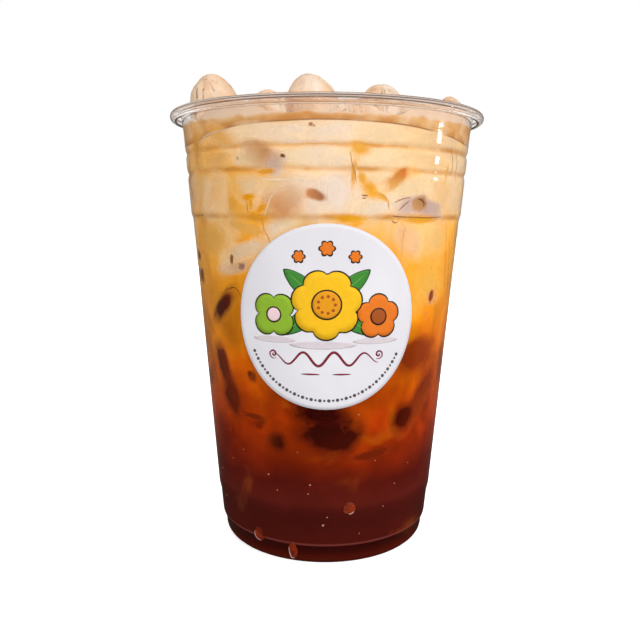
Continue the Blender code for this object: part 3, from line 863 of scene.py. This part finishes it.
def sunkIceFinish(put, place):
    # ice seen through the tea: its edge fades into the drink, with milk drifting over it; it
    # is lit as the round wall is, so its normal is the direction away from the cup's axis
    solid = put("Attribute", {"attribute_name": "solid"}).outputs["Fac"]
    body = put("Attribute", {"attribute_name": "ink"}).outputs["Color"]
    cloud = put("TexNoise", {"Scale": 1 / (6 * mm), "Detail": 3.0, "Distortion": 0.5, "Vector": place})
    tone = put("MapRange", {1: 0.3, 2: 0.7, 3: 0.85, 4: 0.97, 0: cloud})
    body = put("VectorMath", {"operation": "SCALE", 0: body, "Scale": tone})
    tear = put("TexNoise", {"Scale": 1 / (3 * mm), "Detail": 3.0, "Distortion": 0.6, "Vector": place})
    tear = put("MapRange", {1: 0.25, 2: 0.75, 3: 0.7, 4: 1.25, 0: tear})
    torn = put("Math", {"operation": "MULTIPLY", 0: solid, 1: tear})
    shown = put("MapRange", {1: 0.02, 2: 0.9, 0: torn})
    outward = put("VectorMath", {"operation": "MULTIPLY", 1: (1.0, 1.0, 0.0), 0: place})
    outward = put("VectorMath", {"operation": "NORMALIZE", 0: outward})
    return put("BsdfPrincipled", {"Roughness": 0.5, "Specular IOR Level": 0.0, "IOR": 1.35,
                                  "Base Color": body, "Alpha": shown, "Normal": outward})


def pressedLump(entry, kind, seed, detail, rise):
    # a lump lying along the wall and flattened on it; solid falls from its middle to its
    # edge with the way out, which is the p-th root of |x|^p + |z|^p, and may fall towards
    # the side of its first colour
    azimuth, height, across, upright, lean, fromColour, toColour, way = entry
    kind = {**usualKind, **kind}
    power = kind["power"]
    visible = (1 - pressed["flat"] ** power) ** (1 / power) * kind["visible"]
    shape = lumpShape(*detail, power, seed, pressed["uneven"], pressed["wave"])
    half = np.array((across / visible, kind["depth"], upright / visible)) / 2
    local = (shape * half) @ turnMatrix((0, lean, 0)).T
    press = local[..., 1] - half[1] * pressed["flat"]
    z = height + local[..., 2]
    wall = outerRadius(z) - cup["wall"] + drink["intoWall"] + kind["proud"] + rise
    spot = polar(azimuth + np.degrees(local[..., 0] / outerRadius(height)), wall + np.minimum(press, 0), z)
    wayOut = (np.abs(shape[..., 0]) ** power + np.abs(shape[..., 2]) ** power) ** (1 / power)
    wayOut = wayOut + kind["ragged"] * ripple(shape, pressed["ragWave"], seed + 7)
    solid = 1 - softStep(wayOut, kind["soft"], pressed["edge"])
    solid = solid * softStep(shape[..., 1], *pressed["solidSide"]) * kind["strength"]
    # the colour runs from the first to the second along the way: painted shade and light across the piece
    along = shape[..., 0] * math.cos(math.radians(way)) + shape[..., 2] * math.sin(math.radians(way))
    share = softStep(along, *pressed["meet"])[..., None]
    solid = solid * (1 - kind["oneSided"] * (1 - share[..., 0]))
    colour = np.array(linear(fromColour)) * (1 - share) + np.array(linear(toColour)) * share
    return spot, solid, colour


def behindWall(name, grids, solid, colours):
    # pieces a hair in front of the drink, which don't shade what their thin edges show of it
    piece = closedPiece(name, grids, sunkFinish, (), {"solid": solid}, colours)
    piece.visible_shadow = False
    piece.visible_diffuse = False


def pressedIce(name, kind, pieces, detail):
    # all pieces of a kind, each a little prouder than the one before, within stack mm
    made = [pressedLump(entry, kind, number + 300, detail, pressed["stack"] * number / len(pieces))
            for number, entry in enumerate(pieces)]
    grids, solid, colours = zip(*made)
    behindWall(name, grids, solid, colours)


def shadeAt(stops, height):
    # the nearest stop's colour at or above a height
    return next((code for level, code in stops if level >= height), stops[-1][1])


def shaded(azimuth, height, across, upright, lean, way):
    # a piece's row, its painted shaded and lit colours taken from its height
    colours = [shadeAt(sunkShadedAndLit[name], height) for name in ("dark", "pale")]
    return (azimuth, height, across, upright, lean, *colours, way)


def spreadFaces():
    # rows of faces between the grooves, like those in front: each step in degrees is the arc
    # over the wall's radius
    draw = np.random.default_rng(around["seed"])
    made = []
    for level, upright, low, high in around["rows"]:
        place = around["from"] + draw.uniform(*around["start"])
        thinner = (around["thinFrom"] - min(level, around["thinFrom"])) * around["thinning"]
        while place < around["to"]:
            across = draw.uniform(low, high)
            step = math.degrees((across * around["taken"] + thinner) / around["wallRadius"])
            tall = upright * draw.uniform(*around["tall"])
            made.append(shaded(place + step / 2, level + draw.uniform(*around["rise"]), across, tall,
                               draw.uniform(*around["lean"]), draw.uniform(-180, 180)))
            place += step
    return made


def spreadLumps():
    # one dark lump in each even share of the turn, at shuffled heights
    draw = np.random.default_rng(darkLumps["seed"])
    count = darkLumps["count"]
    share = (np.arange(count) + draw.uniform(0, 1, count)) / count
    azimuth = darkLumps["from"] + share * darkLumps["over"]
    height = draw.permutation(np.linspace(*darkLumps["height"], count))
    across = draw.uniform(*darkLumps["across"], count)
    upright = np.minimum(across * draw.uniform(*darkLumps["upright"], count), darkLumps["tallest"])
    lean, way = draw.uniform(*darkLumps["lean"], count), draw.uniform(-180, 180, count)
    return [shaded(*row) for row in zip(azimuth, height, across, upright, lean, way)]


sunkFinish = newMaterial("ice in milk tea", sunkIceFinish)
for name, kind in iceKinds.items():
    pressedIce("sunkIce_" + name, kind, kind["pieces"], (36, 60))
pressedIce("sunkIce_facesAround", iceKinds["faces"], spreadFaces(), (26, 40))
pressedIce("sunkIce_lumpsAround", lumpsAround, spreadLumps(), (26, 40))
print("sunk ice made")


# label: a round paper sticker with a plain printed posy

# the azimuth in degrees, the rest in mm; gap is between the sheet and the wall
label = {"azimuth": 0.5, "height": 70.6, "radius": 25.2, "thick": 0.2, "gap": 0.04}


def onLabel(u, v, lift):
    # u mm round the cup and v mm up it from the label's middle, lift mm off the wall
    height = label["height"] + v
    radius = outerRadius(height)
    return polar(label["azimuth"] + np.degrees(u / radius), radius + label["gap"] + lift, height)


def flatGrid(outline, low, high, steps=6):
    # a thin plate under an outline (columns x 2): rings from the middle of its upper face
    # out to the edge, then down and back under it
    middle = outline.mean(axis=0)
    share = np.concatenate([np.linspace(0, 1, steps), [1.0], np.linspace(1, 0, 3)])
    lift = np.concatenate([np.full(steps, high), [(low + high) / 2], np.full(3, low)])
    spot = middle + (outline - middle) * share[:, None, None]
    return onLabel(spot[..., 0], spot[..., 1], lift[:, None])


def labelPaper(put, place):
    # matt coated paper: a cool white with the faint unevenness of its fibres
    fibre = put("TexNoise", {"Scale": 1 / (0.6 * mm), "Detail": 4.0, "Vector": place})
    cloud = put("TexNoise", {"Scale": 1 / (18 * mm), "Vector": place})
    colour = put("ValToRGB", {"stops": [(0.3, "#E0DDE3"), (0.7, "#E8E7EB")], 0: cloud})
    bump = put("Bump", {"Strength": 0.06, "Distance": 0.05 * mm, "Height": fibre})
    return put("BsdfPrincipled", {"Roughness": 0.6, "Specular IOR Level": 0.3, "Base Color": colour,
                                  "Normal": bump})


def printInk(put, place):
    # offset ink on paper: flat colour that is a little uneven where the paper takes it
    ink = put("Attribute", {"attribute_name": "ink"}).outputs["Color"]
    grain = put("TexNoise", {"Scale": 1 / (1.4 * mm), "Detail": 3.0, "Vector": place})
    tone = put("MapRange", {3: 0.9, 4: 1.08, 0: grain})
    colour = put("VectorMath", {"operation": "SCALE", 0: ink, "Scale": tone})
    return put("BsdfPrincipled", {"Roughness": 0.5, "Specular IOR Level": 0.35, "Base Color": colour})


angleRound = anglesRound(96)
circle = np.stack([np.cos(angleRound), np.sin(angleRound)], -1)
closedPiece("labelSheet", [flatGrid(circle * label["radius"], 0.0, label["thick"], 24)],
            newMaterial("matt coated paper", labelPaper), ["label"])


def petalOutline(count, depth, sharp):
    # radius 1 at each petal's tip, less depth between petals
    return circle * (1 - depth * (1 - np.abs(np.cos(count * angleRound / 2)) ** sharp))[:, None]


def leafOutline(width):
    # a pointed oval along u: width times sine, narrower towards the tip
    along, up = circle.T
    return np.stack([along, width * up * np.abs(up) ** 0.35 * (1 - 0.25 * along)], -1)


def setDown(outline, place, size, turn=0.0):
    # an outline scaled, turned by degrees and moved to its place on the label
    return outline * size @ spin(turn).T + np.array(place)


def onCircle(middle, radius, turn):
    # the point of a circle on the label at an angle in degrees
    return np.array(middle) + radius * np.array((math.cos(math.radians(turn)), math.sin(math.radians(turn))))


def strokeGrid(path, width, low, high, columns=10):
    # a line of ink: its width tapers at both ends as the square root of a sine
    across = -outwards(path)
    half = width / 2 * np.sqrt(np.sin(np.linspace(0, np.pi, len(path))) + 0.02)
    angle = anglesRound(columns)
    spot = path[:, None] + across[:, None] * (half[:, None] * np.cos(angle))[..., None]
    lift = (low + high) / 2 + (high - low) / 2 * np.sin(angle) + 0 * half[:, None]
    return onLabel(spot[..., 0], spot[..., 1], lift)


posy = {
    "lineWidth": 0.42, "layer": 0.012, "thick": 0.02, "under": 0.05,     # mm of ink over the paper
    "line": "#2B2420", "shadow": "#D8CDD2", "yellow": "#F7BF16", "yellowDeep": "#E89A10",
    "orange": "#E8791E", "brown": "#A8521C", "green": "#8DB52C", "leaf": "#3F8A35",
    "leafPale": "#6FA844", "pink": "#F3D3D6", "maroon": "#7E2338", "grey": "#57504F",
}
inkGrids, inkColours = [], []


def inked(shape, colour, layer, width=None):
    # adds an outline's plate, or a line of ink where a width is given, to the print
    low, high = label["thick"] - posy["under"], label["thick"] + posy["layer"] * layer + posy["thick"]
    inkGrids.append(strokeGrid(shape, width, low, high) if width else flatGrid(shape, low, high))
    inkColours.append(posy[colour])


def outlined(outline, place, size, turn, colour, layer):
    # a shape over a slightly larger dark one
    inked(setDown(outline * (size + posy["lineWidth"]) / size, place, size, turn), "line", layer)
    inked(setDown(outline, place, size, turn), colour, layer + 1)


def printPosy():
    # flowers and leaves on a circle's radius round the middle one, over flat shadows
    for place, size in (((-1.0, -7.4), (9.0, 1.1)), ((-14.4, -6.2), (6.2, 0.9)), ((13.6, -6.4), (6.6, 0.9))):
        inked(circle * np.array(size) + np.array(place), "shadow", 0)
    for turn in (40, 140, 215, -35):
        spot = (9.6 * math.cos(math.radians(turn)), 3.6 + 9.0 * math.sin(math.radians(turn)))
        outlined(leafOutline(0.42), spot, 5.2, turn, "leaf", 1)
        vein = np.linspace(-0.8, 0.8, 24)[:, None] * np.array([1.0, 0.0])
        inked(setDown(vein, spot, 5.2, turn), "leafPale", 4, 0.26)
    outlined(petalOutline(7, 0.2, 0.55), (0.0, 3.6), 9.4, 12, "yellow", 5)
    outlined(circle, (0.0, 3.6), 3.7, 0, "yellowDeep", 8)
    for turn in range(0, 360, 40):
        inked(setDown(circle, onCircle((0.0, 3.6), 2.3, turn), 0.42), "brown", 11)
    outlined(petalOutline(4, 0.3, 0.7), (-14.4, 0.6), 6.2, 45, "green", 3)
    outlined(circle, (-14.4, 0.6), 1.8, 0, "pink", 6)
    outlined(petalOutline(5, 0.26, 0.6), (14.2, 0.2), 6.0, 18, "orange", 3)
    outlined(circle, (14.2, 0.2), 2.0, 0, "brown", 6)
    for place, size in (((-7.5, 16.4), 1.5), ((7.5, 16.4), 1.5), ((0.0, 18.6), 1.9)):
        outlined(petalOutline(6, 0.3, 0.8), place, size, 0, "orange", 3)
    # a wavy line between two curls, a bar on either side under it, and an arc of dots
    t = np.linspace(-1, 1, 150)
    wave = np.stack([14.5 * t, -11.2 + 1.9 * np.sin(3.5 * np.pi * t) * (1 - 0.35 * t ** 2)], -1)
    inked(wave, "maroon", 2, 0.75)
    turns = np.linspace(0, 3.2 * np.pi, 90)
    for side in (-1, 1):
        curl = np.stack([side * (14.5 + 0.35 * turns * np.sin(turns) / 2.6),
                         -10.2 + 0.35 * turns * np.cos(turns) / 2.6], -1)
        inked(curl, "maroon", 3, 0.5)
    for place in (-4.2, 4.2):
        bar = np.stack([place + np.linspace(-2.6, 2.6, 20), np.full(20, -15.4)], -1)
        inked(bar, "maroon", 2, 0.5)
    for turn in np.arange(206, 335, 3.0):
        inked(setDown(circle, onCircle((0, 0), 22.7, turn), 0.32 if int(turn) % 2 else 0.46), "grey", 1)


printPosy()
closedPiece("labelPrint", inkGrids, newMaterial("offset printing ink", printInk), (),
            None, inkColours)
print("label made")


# drops on the outside, bubbles, specks of tea leaf and fine threads at the wall

# drops: azimuth, height, size (across, proud of the wall, upright)
drops = (
    (-34.8, 6.6, (3.4, 1.0, 4.2)), (-15.8, 3.9, (2.6, 1.0, 5.4)), (12.1, 17.0, (3.8, 1.2, 3.6)),
    (118.0, 9.0, (3.0, 0.9, 4.4)), (126.0, 30.0, (2.6, 0.9, 2.8)), (140.0, 5.4, (2.8, 1.0, 5.0)),
    (163.0, 17.5, (3.6, 1.1, 3.8)), (196.0, 7.0, (3.0, 0.9, 4.6)), (224.0, 24.0, (2.4, 0.8, 2.6)),
    (238.0, 6.0, (3.2, 1.0, 4.8)), (250.0, 18.0, (2.6, 0.9, 3.0)),
)
# bubbles: azimuth, height, size across
bubbles = (
    (47.8, 70.3, 0.6), (14.9, 43.7, 0.4), (-3.6, 40.8, 0.4), (-26.8, 25.5, 0.5), (-22.4, 21.3, 0.4),
    (-7.3, 21.2, 0.4), (-6.4, 23.8, 0.5), (-0.3, 12.0, 0.7), (1.6, 14.5, 0.35), (3.2, 42.0, 0.35),
    (7.1, 41.9, 0.35), (46.4, 69.0, 0.35), (-41.0, 31.0, 0.35), (36.0, 22.0, 0.35), (44.0, 27.0, 0.35),
    (-50.0, 27.0, 0.35), (30.0, 16.0, 0.3), (18.0, 9.0, 0.3), (-12.0, 33.0, 0.3), (24.0, 30.0, 0.3),
)
bubblesAround = {"seed": 8, "count": 46, "azimuth": (60, 300), "height": (8, 78), "gather": 1.4,
                 "across": (0.25, 0.6)}
# specks: rows like those of the sunk ice
specks = (
    (-15.1, 113.3, 1.5, 0.9, 10, "#84522E", "#6E3E22", 0),
    (-5.3, 121.2, 1.3, 1.0, 0, "#C08A5C", "#B07A50", 0),
    (-4.4, 120.9, 1.2, 0.8, 10, "#DCB48C", "#CFA478", 0),
    (-33.0, 113.0, 0.7, 0.7, 0, "#B08040", "#B08040", 0),
    (-58.0, 97.6, 0.9, 0.7, 0, "#7A4A28", "#7A4A28", 0),
)
speckKind = {"depth": 2.0, "power": 2.0, "soft": 0.5, "strength": 1.0, "proud": 0.14}
threadKind = {"points": 60, "proud": 0.15, "halfThick": 0.03, "solid": 0.62}
# threads: colour, mm wide, stops of azimuth and height
threads = (
    ("#7E5038", 0.35, ((24.2, 97.9), (28.2, 97.6), (35.2, 97.5), (43.5, 97.4), (50.8, 97.7))),
    ("#8A5C46", 0.30, ((24.7, 101.3), (28.3, 102.4), (32.2, 102.9))),
    ("#6E3E26", 0.45, ((35.3, 102.6), (37.4, 102.3), (38.8, 101.5), (38.7, 100.4))),
    ("#7E5038", 0.30, ((27.0, 99.2), (29.0, 100.6), (31.6, 102.0))),
    ("#B07A3A", 0.30, ((7.9, 114.7), (8.7, 111.3), (9.9, 109.0), (10.4, 106.2))),
    ("#F8DEC2", 0.45, ((-24.5, 107.4), (-18.2, 107.1), (-11.6, 107.2), (-5.3, 106.8))),
    ("#F6D8B4", 0.40, ((-18.4, 104.2), (-20.4, 101.9), (-21.7, 99.5), (-22.8, 97.3))),
    ("#5A2C14", 0.30, ((-46.4, 76.2), (-42.2, 77.3), (-39.2, 77.8), (-37.0, 76.7), (-36.1, 75.1))),
    ("#7A5230", 0.40, ((12.3, 103.3), (13.7, 103.1), (14.8, 103.2))),
    ("#6A4428", 0.35, ((12.7, 102.5), (14.1, 102.4))),
    ("#B87E3E", 0.35, ((53.0, 117.6), (54.5, 113.7), (55.5, 109.2))),
    ("#A06A30", 0.30, ((57.7, 116.8), (58.9, 112.2), (59.6, 107.6))),
    ("#C08A4C", 0.30, ((56.4, 96.0), (58.3, 87.8), (60.9, 75.8))),
    ("#B8772E", 0.25, ((59.9, 95.1), (63.8, 84.0), (67.5, 72.4))),
    ("#E8C49A", 0.70, ((-55.2, 109.8), (-55.9, 113.8), (-55.0, 117.2), (-50.5, 119.5), (-43.9, 120.4),
                       (-35.0, 121.0))),
    ("#B88450", 0.35, ((-67.2, 116.8), (-68.9, 110.9), (-68.6, 104.9), (-68.3, 98.9))),
    ("#E6C8A0", 0.50, ((-61.2, 117.0), (-62.2, 111.2), (-62.8, 104.8), (-63.0, 99.5))),
    ("#9A6A3C", 0.30, ((-66.8, 97.7), (-63.3, 97.4), (-59.3, 97.6))),
    ("#D89A50", 0.40, ((18.6, 103.9), (20.9, 103.2), (22.6, 101.6), (23.2, 99.2))),
    ("#8A5030", 0.30, ((24.5, 96.8), (25.9, 96.0), (27.7, 96.3))),
    ("#C07830", 0.35, ((-30.0, 101.9), (-29.7, 100.0), (-30.0, 98.4))),
    ("#C8884A", 0.30, ((-24.0, 97.3), (-23.6, 94.1), (-21.6, 91.5), (-20.9, 89.3))),
    ("#E0B070", 0.35, ((30.9, 95.5), (30.0, 91.1), (30.3, 85.1))),
)


def water(put, place):
    # still water in beads: the tea behind shows through, a diffuse red body paints the light the bead
    # gathers from the tea, and its steep edges mirror the room
    film = put("TexNoise", {"Scale": 1 / (3 * mm), "Vector": place})
    # painted light: the red, noise-varied body stands in for the tea's light focused in the bead
    lit = put("ValToRGB", {"stops": [(0.35, "#4E0E04"), (0.65, "#A83812")], 0: film})
    clear = put("BsdfTransparent", {"Color": "#F4E6E0"})
    glow = put("BsdfDiffuse", {"Color": lit})
    inside = put("MixShader", {0: 0.45, 1: clear, 2: glow})
    edge = put("Fresnel", {"IOR": 1.45})
    mirror = put("BsdfGlossy", {"Color": "#FFFFFF", "Roughness": 0.05})
    return put("MixShader", {0: edge, 1: inside, 2: mirror})


def froth(put, place):
    # small bubbles that cling to the wall: pale skins that take the drink's colour
    sheen = put("TexNoise", {"Scale": 1 / (0.4 * mm), "Vector": place})
    colour = put("ValToRGB", {"stops": [(0.35, "#9C6450"), (0.6, "#D8B4A4")], 0: sheen})
    return put("BsdfPrincipled", {"Roughness": 0.2, "IOR": 1.33, "Base Color": colour})


def beadGrid(azimuth, height, size, seed):
    # half a flattened ball standing on the wall, broader towards its foot, its lower half
    # sunk in the wall
    shape = lumpShape(20, 30, 2.0, seed, 0.05)
    local = shape * np.array(size) / 2
    local[..., 0] *= 1 - 0.18 * shape[..., 2]
    z = height + local[..., 2]
    radius = outerRadius(z) + np.maximum(local[..., 1], 0) - 0.1
    return polar(azimuth + np.degrees(local[..., 0] / outerRadius(height)), radius, z)


def bubbleGrid(azimuth, height, across):
    # a ball set in the drink's face, its outer third showing between drink and wall
    shape = lumpShape(10, 16, 2.0, 1, 0.0) * across / 2
    face = outerRadius(height) - cup["wall"] + drink["intoWall"]
    radius = face - across * 0.12 + shape[..., 1] * 0.6
    return polar(azimuth + np.degrees(shape[..., 0] / outerRadius(height)), radius, height + shape[..., 2])


def spreadBubbles():
    # seeded bubbles round the sides and back, more of them low down
    draw = np.random.default_rng(bubblesAround["seed"])
    count = bubblesAround["count"]
    azimuth = draw.uniform(*bubblesAround["azimuth"], count)
    low, high = bubblesAround["height"]
    height = low + (high - low) * draw.uniform(0, 1, count) ** bubblesAround["gather"]
    return zip(azimuth, height, draw.uniform(*bubblesAround["across"], count))


def threadGrid(width, stops, lift=threadKind["proud"] + drink["intoWall"] - cup["wall"]):
    # a fine flat line through its stops, smoothed by a moving mean of 9 of its points,
    # lift mm off the wall's outside: on the drink's face when none is given
    points = np.array(stops)
    place = np.linspace(0, len(points) - 1, threadKind["points"])
    path = np.stack([np.interp(place, np.arange(len(points)), points[:, k]) for k in (0, 1)], -1)
    smooth = np.pad(path, ((4, 4), (0, 0)), mode="edge")
    path = np.stack([np.convolve(smooth[:, k], np.full(9, 1 / 9), mode="valid") for k in (0, 1)], -1)
    radius = outerRadius(path[:, 1])
    along = unitAlong(np.stack([np.radians(path[:, 0]) * radius, path[:, 1]], -1))
    half = width / 2 * np.sqrt(np.sin(np.linspace(0, np.pi, threadKind["points"])) + 0.03)
    angle = anglesRound(8)
    reach = half[:, None] * np.cos(angle)
    z = path[:, 1][:, None] + along[:, 0][:, None] * reach
    azimuth = path[:, 0][:, None] - np.degrees(along[:, 1][:, None] * reach / radius[:, None])
    return polar(azimuth, outerRadius(z) + lift + threadKind["halfThick"] * np.sin(angle), z)


# the painted highlight on a drop, a bright crescent: from and to in degrees, or the drop's own by its number
crescent = {"span": (150.0, 300.0), "own": {2: (262.0, 325.0)}, "width": 0.34, "lift": 0.3,
            "colour": "#C9A49A", "solid": 0.7}


def litEdge(azimuth, height, size, start, end):
    # a painted highlight: a crescent along a drop's edge as azimuth and height stops, just inside its
    # outline
    turn = np.radians(np.linspace(start, end, 12))
    places = azimuth + np.degrees(size[0] * 0.42 * np.cos(turn) / outerRadius(height))
    return np.stack([places, height + size[2] * 0.44 * np.sin(turn)], -1)


def fineLines(name, grids, solid, colours):
    # one piece of thin lines that are equally solid all over
    behindWall(name, grids, [np.full(g.shape[:2], solid) for g in grids], colours)


closedPiece("waterDrops", [beadGrid(*drop, n) for n, drop in enumerate(drops, 70)],
            newMaterial("water beads", water))
closedPiece("airBubbles", [bubbleGrid(*bubble) for bubble in (*bubbles, *spreadBubbles())],
            newMaterial("bubble skins", froth))
litEdges = [litEdge(*drop, *crescent["own"].get(n, crescent["span"])) for n, drop in enumerate(drops)]
fineLines("dropPaintedHighlights", [threadGrid(crescent["width"], edge, crescent["lift"]) for edge in litEdges],
          crescent["solid"], [crescent["colour"]] * len(drops))
pressedIce("teaSpecks", speckKind, specks, (14, 24))
fineLines("teaThreads", [threadGrid(width, stops) for colour, width, stops in threads],
          threadKind["solid"], [thread[0] for thread in threads])
print("drops, bubbles and threads made")


# floor, lights, world

studio = {
    "floor": 3.0,       # half its side in metres
    # each lamp's place and size in metres, its watts, and whether surfaces mirror it
    "lamps": {
        "key": ((0.66, -0.7, 0.5), (0.6, 0.6), 6.5, False),
        "fill": ((-0.7, -0.65, 0.25), (0.7, 0.7), 3.7, False),
        "top": ((0.0, 0.2, 1.0), (0.8, 0.8), 2.8, False),
        "strip": ((0.6256, 0.0405, 0.098), (0.045, 0.04), 0.1518, True),      # glints on the collar
        "back": ((-0.2, 1.0, 0.35), (0.8, 0.8), 3.0, False),
    },
    "aim": (0.0, 0.0, 0.08),
}


def whiteSweep(put, place):
    # matt white sweep: it shows nearly white and glows a little, and lights less than it shows
    blotch = put("TexNoise", {"Scale": 1 / (60 * mm), "Vector": place})
    colour = put("ValToRGB", {"stops": [(0.3, "#F4F4F4"), (0.7, "#F8F8F8")], 0: blotch})
    shown = put("BsdfPrincipled", {"Roughness": 0.9, "Specular IOR Level": 0.0, "Emission Strength": 0.62,
                                   "Emission Color": (1, 1, 1, 1), "Base Color": colour})
    bounce = put("BsdfDiffuse", {"Color": "#A8A8A8"})
    return put("MixShader", {0: put("LightPath").outputs["Is Diffuse Ray"], 1: shown, 2: bounce})


def addFloor():
    # a square of the sweep, which the cup doesn't mirror
    size = studio["floor"]
    mesh = bpy.data.meshes.new("floor")
    corners = [(-size, -size, 0), (size, -size, 0), (size, size, 0), (-size, size, 0)]
    mesh.from_pydata(corners, [], [(0, 1, 2, 3)])
    mesh.materials.append(newMaterial("matt white sweep", whiteSweep))
    floor = bpy.data.objects.new("floor", mesh)
    floor.visible_glossy = False
    bpy.context.scene.collection.objects.link(floor)


def addLamp(name, place, size, power, mirrored):
    # an area lamp turned to the aim: tilted by the angle from straight down, then about Z
    data = bpy.data.lights.new(name, "AREA")
    data.shape = "RECTANGLE"
    data.size, data.size_y = size
    data.energy = power
    lamp = bpy.data.objects.new(name, data)
    lamp.location = place
    x, y, z = np.array(studio["aim"]) - np.array(place)
    lamp.rotation_euler = (math.atan2(math.hypot(x, y), -z), 0.0, math.atan2(-x, y))
    lamp.visible_glossy = mirrored
    lamp.visible_transmission = False
    lamp.visible_camera = False
    bpy.context.scene.collection.objects.link(lamp)


def addWorld():
    # white to the eye; what surfaces mirror of it and the light it gives are set apart
    world = bpy.data.worlds.new("studio")
    bpy.context.scene.world = world
    put = clearNodes(world)
    way = put("SeparateXYZ", {0: put("TexCoord").outputs["Generated"]})
    right = put("MapRange", {**eased, 1: 0.05, 2: 0.08, 0: way.outputs["Y"]})
    left = put("MapRange", {**eased, 1: -0.15, 2: 0.5, 0: way.outputs["Y"]})
    side = put("Math", {"operation": "GREATER_THAN", 1: 0.0, 0: way.outputs["X"]})
    behind = put("Mix", {0: side, 2: left, 3: right})
    # the wall mirrors a dim backdrop behind the cup; the rim's roll mirrors a pale ceiling
    mirrored = put("MapRange", {3: 0.06, 4: 0.17, 0: behind})
    ceiling = put("MapRange", {**eased, 1: 0.14, 2: 0.4, 0: way.outputs["Z"]})
    mirrored = put("Mix", {3: 0.7, 0: ceiling, 2: mirrored})
    below = put("MapRange", {**eased, 1: -0.2, 2: -0.45, 0: way.outputs["Z"]})
    mirrored = put("Mix", {3: 0.03, 0: below, 2: mirrored})
    # what is mirrored inside the plastic comes from the pale room
    path = put("LightPath")
    glossy, diffuse = path.outputs["Is Glossy Ray"], path.outputs["Is Diffuse Ray"]
    within = put("Math", {"operation": "GREATER_THAN", 1: 0.5, 0: path.outputs["Transmission Depth"]})
    mirrored = put("Mix", {3: 0.92, 0: within, 2: mirrored})
    level = put("Mix", {2: 1.0, 0: glossy, 3: mirrored})
    # its soft light is stronger from the right
    soft = put("MapRange", {1: -0.7, 2: 0.9, 3: 0.5, 4: 0.72, 0: way.outputs["X"]})
    level = put("Mix", {0: diffuse, 2: level, 3: soft})
    # what the outside mirrors is warm, as the drink lights the room by it
    outside = put("Math", {"operation": "SUBTRACT", 0: glossy, 1: within})
    colour = put("Mix", {"data_type": "RGBA", 6: "#FFFFFF", 7: "#FFE6D2", 0: outside})
    back = put("Background", {"Color": colour, "Strength": level})
    put("OutputWorld", {"Surface": back})


addFloor()
for name, lamp in studio["lamps"].items():
    addLamp(name, *lamp)
addWorld()
scene = bpy.context.scene
scene.view_settings.view_transform = "Standard"
scene.cycles.use_denoising = True
scene.cycles.max_bounces = 12
scene.cycles.transparent_max_bounces = 16
scene.cycles.transmission_bounces = 10
print("studio lit")

bpy.context.view_layer.update()
